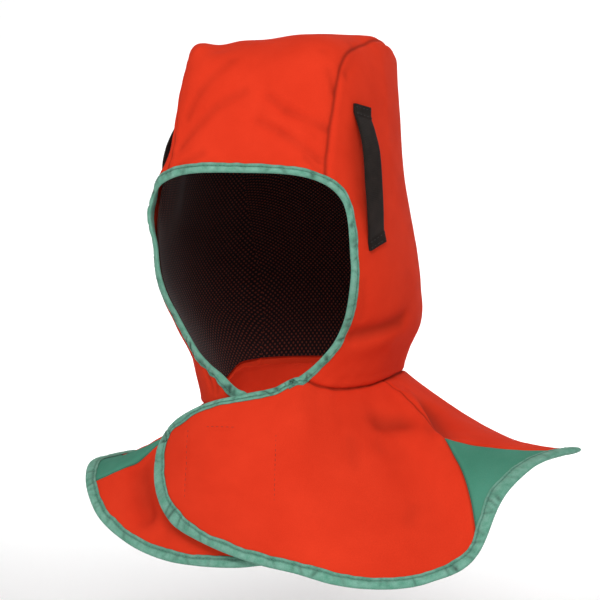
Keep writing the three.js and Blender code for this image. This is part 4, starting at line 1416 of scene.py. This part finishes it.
def stitch_tree():
    """One thread hump on each point, laid along the row and out of the cloth."""
    tree = bpy.data.node_groups.new("Stitch rows", "GeometryNodeTree")
    sockets = {}
    kinds = {"Geometry": "Geometry", "Length": "Float", "Thickness": "Float", "Thread": "Material"}
    for name, kind in kinds.items():
        socket = tree.interface.new_socket(name=name, in_out="INPUT", socket_type="NodeSocket" + kind)
        sockets[name] = socket.identifier
    tree.interface.new_socket(name="Geometry", in_out="OUTPUT", socket_type="NodeSocketGeometry")
    given = node(tree, "NodeGroupInput", (-900, 0))
    result = node(tree, "NodeGroupOutput", (900, 0))
    ball = node(tree, "GeometryNodeMeshUVSphere", (-600, -250))
    set_inputs(ball, Segments=8, Rings=5, Radius=0.5)
    size = node(tree, "ShaderNodeCombineXYZ", (-600, -450))
    hump = node(tree, "GeometryNodeTransform", (-300, -250))
    along = node(tree, "GeometryNodeInputNamedAttribute", (-600, 350), data_type="FLOAT_VECTOR")
    set_inputs(along, Name="along")
    up = node(tree, "GeometryNodeInputNamedAttribute", (-600, 200), data_type="FLOAT_VECTOR")
    set_inputs(up, Name="up")
    lie = node(tree, "FunctionNodeAlignRotationToVector", (-350, 350), axis="X")
    face = node(tree, "FunctionNodeAlignRotationToVector", (-150, 300), axis="Z", pivot_axis="X")
    place = node(tree, "GeometryNodeInstanceOnPoints", (100, 50))
    real = node(tree, "GeometryNodeRealizeInstances", (350, 50))
    even = node(tree, "GeometryNodeSetShadeSmooth", (500, 50))
    paint = node(tree, "GeometryNodeSetMaterial", (700, 50))
    wire(
        tree,
        (given, "Length", size, "X"),
        (given, "Thickness", size, "Y"),
        (given, "Thickness", size, "Z"),
        (ball, "Mesh", hump, "Geometry"),
        (size, "Vector", hump, "Scale"),
        (along, "Attribute", lie, "Vector"),
        (lie, "Rotation", face, "Rotation"),
        (up, "Attribute", face, "Vector"),
        (given, "Geometry", place, "Points"),
        (hump, "Geometry", place, "Instance"),
        (face, "Rotation", place, "Rotation"),
        (place, "Instances", real, "Geometry"),
        (real, "Geometry", even, "Geometry"),
        (even, "Geometry", paint, "Geometry"),
        (given, "Thread", paint, "Material"),
        (paint, "Geometry", result, "Geometry"),
    )
    return tree, sockets


def stitch_points(p, n, pitch):
    """Middles of the stitches along a line, with the line's direction and the cloth's normal."""
    place = even_path(p, pitch)
    middle = sampled(p, place)
    return middle, tangents(middle), unit(sampled(n, place))


def stitch_object(name, lines, material, settings):
    found = [stitch_points(p, n, settings.stitch_pitch) for p, n in lines]
    points, along, up = (np.concatenate([f[k] for f in found]) for k in range(3))
    mesh = bpy.data.meshes.new(name + "_rows")
    mesh.from_pydata((points * MM).tolist(), [], [])
    for attribute, values in (("along", along), ("up", up)):
        data = mesh.attributes.new(attribute, "FLOAT_VECTOR", "POINT").data
        data.foreach_set("vector", values.astype(np.float32).ravel())
    carrier = link_object(name + "_rows", mesh)
    tree, sockets = stitch_tree()
    modifier = carrier.modifiers.new("stitches", "NODES")
    modifier.node_group = tree
    modifier[sockets["Length"]] = settings.stitch_length * MM
    modifier[sockets["Thickness"]] = settings.thread * MM
    modifier[sockets["Thread"]] = material
    graph = bpy.context.evaluated_depsgraph_get()
    made = bpy.data.meshes.new_from_object(carrier.evaluated_get(graph))
    made.name = name
    obj = link_object(name, made)
    carrier.modifiers.remove(modifier)
    bpy.data.objects.remove(carrier)
    bpy.data.meshes.remove(mesh)
    bpy.data.node_groups.remove(tree)
    if not made.polygons:
        raise RuntimeError(name + " has no stitches")
    return obj


def closure_rows(settings):
    """Stitches that hold the closure to the flap."""
    lines = []
    q = np.linspace(0, 1, 40)
    for x0, y0, x1, y1 in zip(BOX["x0"], BOX["y0"], BOX["x1"], BOX["y1"]):
        turn, t = blend(x0, x1, q) / FLAP_ACROSS, blend(y0, y1, q) / CAPE_DOWN
        n = cape_normal(turn, t)
        p, _ = worn(cape_point(turn, t), n, box_relief(turn, t))
        lines.append((p + n * (settings.cloth / 2 + STITCH_LIFT), n))
    return lines


def loop_rows(settings):
    """Two rows across each end of the webbing."""
    lines = []
    across = np.linspace(0.07, 0.93, 30)[:, None]
    for side in (1, -1):
        _, _, (left, right, up, s, thick) = loop_sections(side, settings)
        for at in LOOP_ROWS:
            i = int(np.argmin(np.abs(s - at % s[-1])))
            row = blend(left[i], right[i], across) + up[i] * (thick[i] + STITCH_LIFT)
            lines.append((row, np.broadcast_to(up[i], row.shape)))
    return lines


# Floor, lights and camera


def floor_sheet(height):
    """Pale floor that rises behind the part in one sweep."""
    back, r = FLOOR["back"], FLOOR["radius"]
    profile = [(FLOOR["front"], 0.0), (back, 0.0)]
    profile += [(back + r * math.sin(a), r - r * math.cos(a)) for a in np.linspace(0.1, math.pi / 2, 14)]
    profile += [(back + r, FLOOR["top"])]
    points = [(x, y, height + z) for y, z in profile for x in (-FLOOR["half"], FLOOR["half"])]
    faces = [[2 * i, 2 * i + 1, 2 * i + 3, 2 * i + 2] for i in range(len(profile) - 1)]
    mesh = bpy.data.meshes.new("floor")
    mesh.from_pydata(points, [], faces)
    mesh.polygons.foreach_set("use_smooth", np.ones(len(mesh.polygons), bool))
    paint, _, _ = plain_material("Pale floor", Base_Color=(0.96, 0.96, 0.96, 1), Roughness=0.95)
    mesh.materials.append(paint)
    link_object("floor", mesh)


def soft_light(name, place, aim, size, power):
    data = bpy.data.lights.new(name, "AREA")
    data.shape = "DISK"
    data.size = size
    data.energy = power
    lamp = link_object(name, data)
    lamp.location = place
    lamp.rotation_mode = "QUATERNION"
    lamp.rotation_quaternion = (Vector(aim) - Vector(place)).to_track_quat("-Z", "Y")


def set_camera(stage):
    a, e = stage.azimuth * DEG, stage.elevation * DEG
    back = Vector((math.sin(a) * math.cos(e), -math.cos(a) * math.cos(e), math.sin(e)))
    data = bpy.data.cameras.new("Camera")
    data.lens = stage.lens
    data.sensor_width = 36
    data.shift_x, data.shift_y = CAMERA_SHIFT
    camera = link_object("Camera", data)
    camera.location = Vector(CAMERA_AIM) + back * stage.distance
    camera.rotation_mode = "QUATERNION"
    camera.rotation_quaternion = (-back).to_track_quat("-Z", "Y")
    bpy.context.scene.camera = camera


# Settings


def number(name, description, default, **limits):
    return bpy.props.FloatProperty(name=name, description=description, default=default, **limits)


def color(name, description, *default):
    return bpy.props.FloatVectorProperty(
        name=name, description=description, default=default, subtype="COLOR", size=3)


class ClothSettings(bpy.types.PropertyGroup):
    """Sizes in millimetres and colours that a maker would change."""

    cloth: number("Cloth", "Cloth thickness in mm", 1.0, min=0.3)
    mesh: number("Mesh", "Lining thickness in mm", 0.8, min=0.3)
    tape_width: number("Tape width", "Visible width of the binding in mm", 6.9)
    tape_thickness: number("Tape thickness", "Binding thickness in mm", 0.7)
    webbing_width: number("Webbing width", "Width of the loops in mm", 20.0)
    webbing_thickness: number("Webbing thickness", "Loop thickness in mm", 1.5)
    stitch_pitch: number("Stitch pitch", "Distance between stitches in mm", 3.0)
    stitch_length: number("Stitch length", "Length of a stitch in mm", 2.4)
    thread: number("Thread", "Thread thickness in mm", 0.55)
    red_deep: color("Red, deep", "Deep tone of the red cloth", 0.69, 0.036, 0.012)
    red_light: color("Red, light", "Light tone of the red cloth", 0.78, 0.046, 0.016)
    green_deep: color("Green, deep", "Deep tone of the green cloth", 0.055, 0.235, 0.155)
    green_light: color("Green, light", "Light tone of the green cloth", 0.085, 0.3, 0.21)
    tape_deep: color("Tape, deep", "Deep tone of the binding", 0.10, 0.31, 0.215)
    tape_light: color("Tape, light", "Light tone of the binding", 0.23, 0.47, 0.37)
    webbing_deep: color("Webbing, deep", "Deep tone of the loops", 0.012, 0.009, 0.008)
    webbing_light: color("Webbing, light", "Light tone of the loops", 0.026, 0.018, 0.015)
    mesh_dark: color("Mesh", "Yarn of the lining", 0.012, 0.007, 0.008)
    # The holes show the red shell, painted far darker than the red cloth as painted shade behind the mesh.
    shaded_mesh_hole: color("Mesh holes", "Shell seen through the lining", 0.13, 0.03, 0.02)


class StageSettings(bpy.types.PropertyGroup):
    """Camera and light."""

    azimuth: number("Azimuth", "Direction of the camera in degrees", 20.0)
    elevation: number("Elevation", "Height of the camera in degrees", 5.0)
    distance: number("Distance", "Camera distance", 2.0, unit="LENGTH")
    lens: number("Lens", "Focal length in mm", 171.9)
    key: number("Key light", "Power of the key light in watts", 38.0)
    fill: number("Fill light", "Power of the fill light in watts", 2.0)
    backdrop: number("Backdrop light", "Power of the light on the backdrop in watts", 110.0)
    sky: number("Surround", "Strength of the surrounding light", 0.36)
    floor: number("Floor", "Floor height", -0.47, unit="LENGTH")


def cloth_settings():
    return bpy.context.scene.balaclava_cloth


def wear(obj, node_name):
    """Ride on the part and stand for its node."""
    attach(obj, "root")
    if node_name:
        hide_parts(node_name)


# Operators


class BALACLAVA_OT_hood(bpy.types.Operator):
    """Sew the crown panel and the two side panels of the hood"""

    bl_idname = "balaclava.hood"
    bl_label = "Hood panels"

    def execute(self, context):
        settings = cloth_settings()
        red = red_cloth(settings)
        crown = sheet_object("crown_cloth", crown_patch(), settings.cloth, red)
        wear(crown, "crown_panel")
        for side, name in ((1, "left"), (-1, "right")):
            panel = sheet_object(f"side_{name}_cloth", side_patch(side), settings.cloth, red)
            wear(panel, f"side_panel_{name}")
        return {"FINISHED"}


class BALACLAVA_OT_cape(bpy.types.Operator):
    """Sew the two fronts and the back of the cape"""

    bl_idname = "balaclava.cape"
    bl_label = "Cape panels"

    def execute(self, context):
        settings = cloth_settings()
        red = red_cloth(settings)
        patch = cape_patch(flap_end, left_front, 150, sewn=(left_front,), box=True)
        front = sheet_object("cape_left_cloth", patch, settings.cloth, red)
        wear(front, "cape_front_left")
        patch = cape_patch(left_back, right_back, 190, sewn=(left_back, right_back))
        back = sheet_object("cape_back_cloth", patch, settings.cloth, red)
        wear(back, "cape_back")
        patch = cape_patch(right_front, tuck_end, 120, sewn=(right_front,))
        tuck = sheet_object("cape_right_cloth", patch, settings.cloth, red)
        wear(tuck, "cape_front_right")
        return {"FINISHED"}


class BALACLAVA_OT_gussets(bpy.types.Operator):
    """Let the green wedges into the cape at the shoulders"""

    bl_idname = "balaclava.gussets"
    bl_label = "Shoulder gussets"

    def execute(self, context):
        settings = cloth_settings()
        green = green_cloth(settings)
        for name, line, start, end, flat, area in (
            ("left", LEFT_SEAM, left_front, left_back, (0.11, 0.075), 0.0039),
            ("right", RIGHT_SEAM, right_back, right_front, (0.09, 0.08), 0.0027),
        ):
            patch = cape_patch(start, end, 60, first=line["at"], sewn=(start, end), row_count=60)
            wedge = sheet_object(f"gusset_{name}_cloth", patch, settings.cloth, green)
            wear(wedge, f"gusset_{name}")
        return {"FINISHED"}


class BALACLAVA_OT_bindings(bpy.types.Operator):
    """Fold the green tape round the face opening and the edge of the cape"""

    bl_idname = "balaclava.bindings"
    bl_label = "Bindings"

    def execute(self, context):
        settings = cloth_settings()
        material = green_tape(settings)
        for tape, piece, node_name in (
            (face_tape(settings), "face_tape", "face_binding"),
            (hem_tape(settings), "hem_tape", "hem_binding"),
        ):
            sections, uv, shade = tape.sections()
            wear(loft_object(piece, sections, uv, material, shade), node_name)
        return {"FINISHED"}


class BALACLAVA_OT_loops(bpy.types.Operator):
    """Sew a webbing loop on each side of the hood"""

    bl_idname = "balaclava.loops"
    bl_label = "Helmet loops"

    def execute(self, context):
        settings = cloth_settings()
        material = webbing_material(settings.webbing_deep, settings.webbing_light)
        for side, name in ((1, "left"), (-1, "right")):
            sections, uv, _ = loop_sections(side, settings)
            webbing = loft_object(f"loop_{name}_webbing", sections, uv, material)
            wear(webbing, f"helmet_loop_{name}")
        return {"FINISHED"}


class BALACLAVA_OT_lining(bpy.types.Operator):
    """Hang the knit mesh inside the hood"""

    bl_idname = "balaclava.lining"
    bl_label = "Mesh lining"

    def execute(self, context):
        settings = cloth_settings()
        material = mesh_material(settings.mesh_dark, settings.shaded_mesh_hole)
        lining = sheet_object("lining_mesh", lining_patch(), settings.mesh, material, middle=LINING_MIDDLE)
        wear(lining, "mesh_lining")
        return {"FINISHED"}


class BALACLAVA_OT_closure(bpy.types.Operator):
    """Sew the hook-and-loop patch under the flap"""

    bl_idname = "balaclava.closure"
    bl_label = "Closure patch"

    def execute(self, context):
        settings = cloth_settings()
        material = pile_material(*PILE)
        middle = -(settings.cloth + CLOSURE["thick"]) / 2 - CLOSURE["gap"]
        pile = sheet_object("closure_pile", closure_patch(), CLOSURE["thick"], material, middle=middle)
        wear(pile, "closure_patch")
        return {"FINISHED"}


class BALACLAVA_OT_stitching(bpy.types.Operator):
    """Lay the rows of stitches on the bindings, the closure box and the loops"""

    bl_idname = "balaclava.stitching"
    bl_label = "Stitching"

    def execute(self, context):
        settings = cloth_settings()
        green = thread("Green thread", GREEN_THREAD)
        red = thread("Red thread", RED_THREAD)
        black = thread("Black thread", BLACK_THREAD)
        tape_rows = [face_tape(settings).stitch_line(), hem_tape(settings).stitch_line()]
        wear(stitch_object("tape_stitches", tape_rows, green, settings), None)
        wear(stitch_object("closure_stitches", closure_rows(settings), red, settings), None)
        wear(stitch_object("loop_stitches", loop_rows(settings), black, settings), None)
        return {"FINISHED"}


class BALACLAVA_OT_stage(bpy.types.Operator):
    """Set the pale floor, the soft light and the camera"""

    bl_idname = "balaclava.stage"
    bl_label = "Stage"

    def execute(self, context):
        stage = context.scene.balaclava_stage
        scene = context.scene
        floor_sheet(stage.floor)
        world = bpy.data.worlds.new("Surround")
        world.use_nodes = True
        background = world.node_tree.nodes["Background"]
        background.inputs["Color"].default_value = (1, 1, 1, 1)
        background.inputs["Strength"].default_value = stage.sky
        scene.world = world
        soft_light("Key", (0.6, -1.9, 1.25), LIGHT_AIM, 1.0, stage.key)
        soft_light("Fill", (-1.7, -1.2, 0.2), LIGHT_AIM, 1.4, stage.fill)
        soft_light("Backdrop", (0, 1.6, 1.9), BACKDROP_AIM, 2.4, stage.backdrop)
        set_camera(stage)
        scene.view_settings.view_transform = "Standard"
        return {"FINISHED"}


class BALACLAVA_PT_panel(bpy.types.Panel):
    """Settings and steps of the balaclava"""

    bl_idname = "BALACLAVA_PT_panel"
    bl_label = "Balaclava"
    bl_space_type = "VIEW_3D"
    bl_region_type = "UI"
    bl_category = "Balaclava"

    def draw(self, context):
        for settings in (context.scene.balaclava_cloth, context.scene.balaclava_stage):
            box = self.layout.box()
            for name in settings.__annotations__:
                box.prop(settings, name)
        for step in STEPS:
            self.layout.operator(step.bl_idname)


STEPS = (
    BALACLAVA_OT_stage,
    BALACLAVA_OT_hood,
    BALACLAVA_OT_cape,
    BALACLAVA_OT_gussets,
    BALACLAVA_OT_bindings,
    BALACLAVA_OT_loops,
    BALACLAVA_OT_lining,
    BALACLAVA_OT_closure,
    BALACLAVA_OT_stitching,
)
CLASSES = (ClothSettings, StageSettings, *STEPS, BALACLAVA_PT_panel)


def register():
    for cls in CLASSES:
        bpy.utils.register_class(cls)
    bpy.types.Scene.balaclava_cloth = bpy.props.PointerProperty(type=ClothSettings)
    bpy.types.Scene.balaclava_stage = bpy.props.PointerProperty(type=StageSettings)


def unregister():
    del bpy.types.Scene.balaclava_stage
    del bpy.types.Scene.balaclava_cloth
    for cls in reversed(CLASSES):
        bpy.utils.unregister_class(cls)


def main():
    register()
    bpy.ops.balaclava.stage()
    bpy.ops.balaclava.hood()
    bpy.ops.balaclava.cape()
    bpy.ops.balaclava.gussets()
    bpy.ops.balaclava.bindings()
    bpy.ops.balaclava.loops()
    bpy.ops.balaclava.lining()
    bpy.ops.balaclava.closure()
    bpy.ops.balaclava.stitching()


if __name__ == "__main__":
    main()
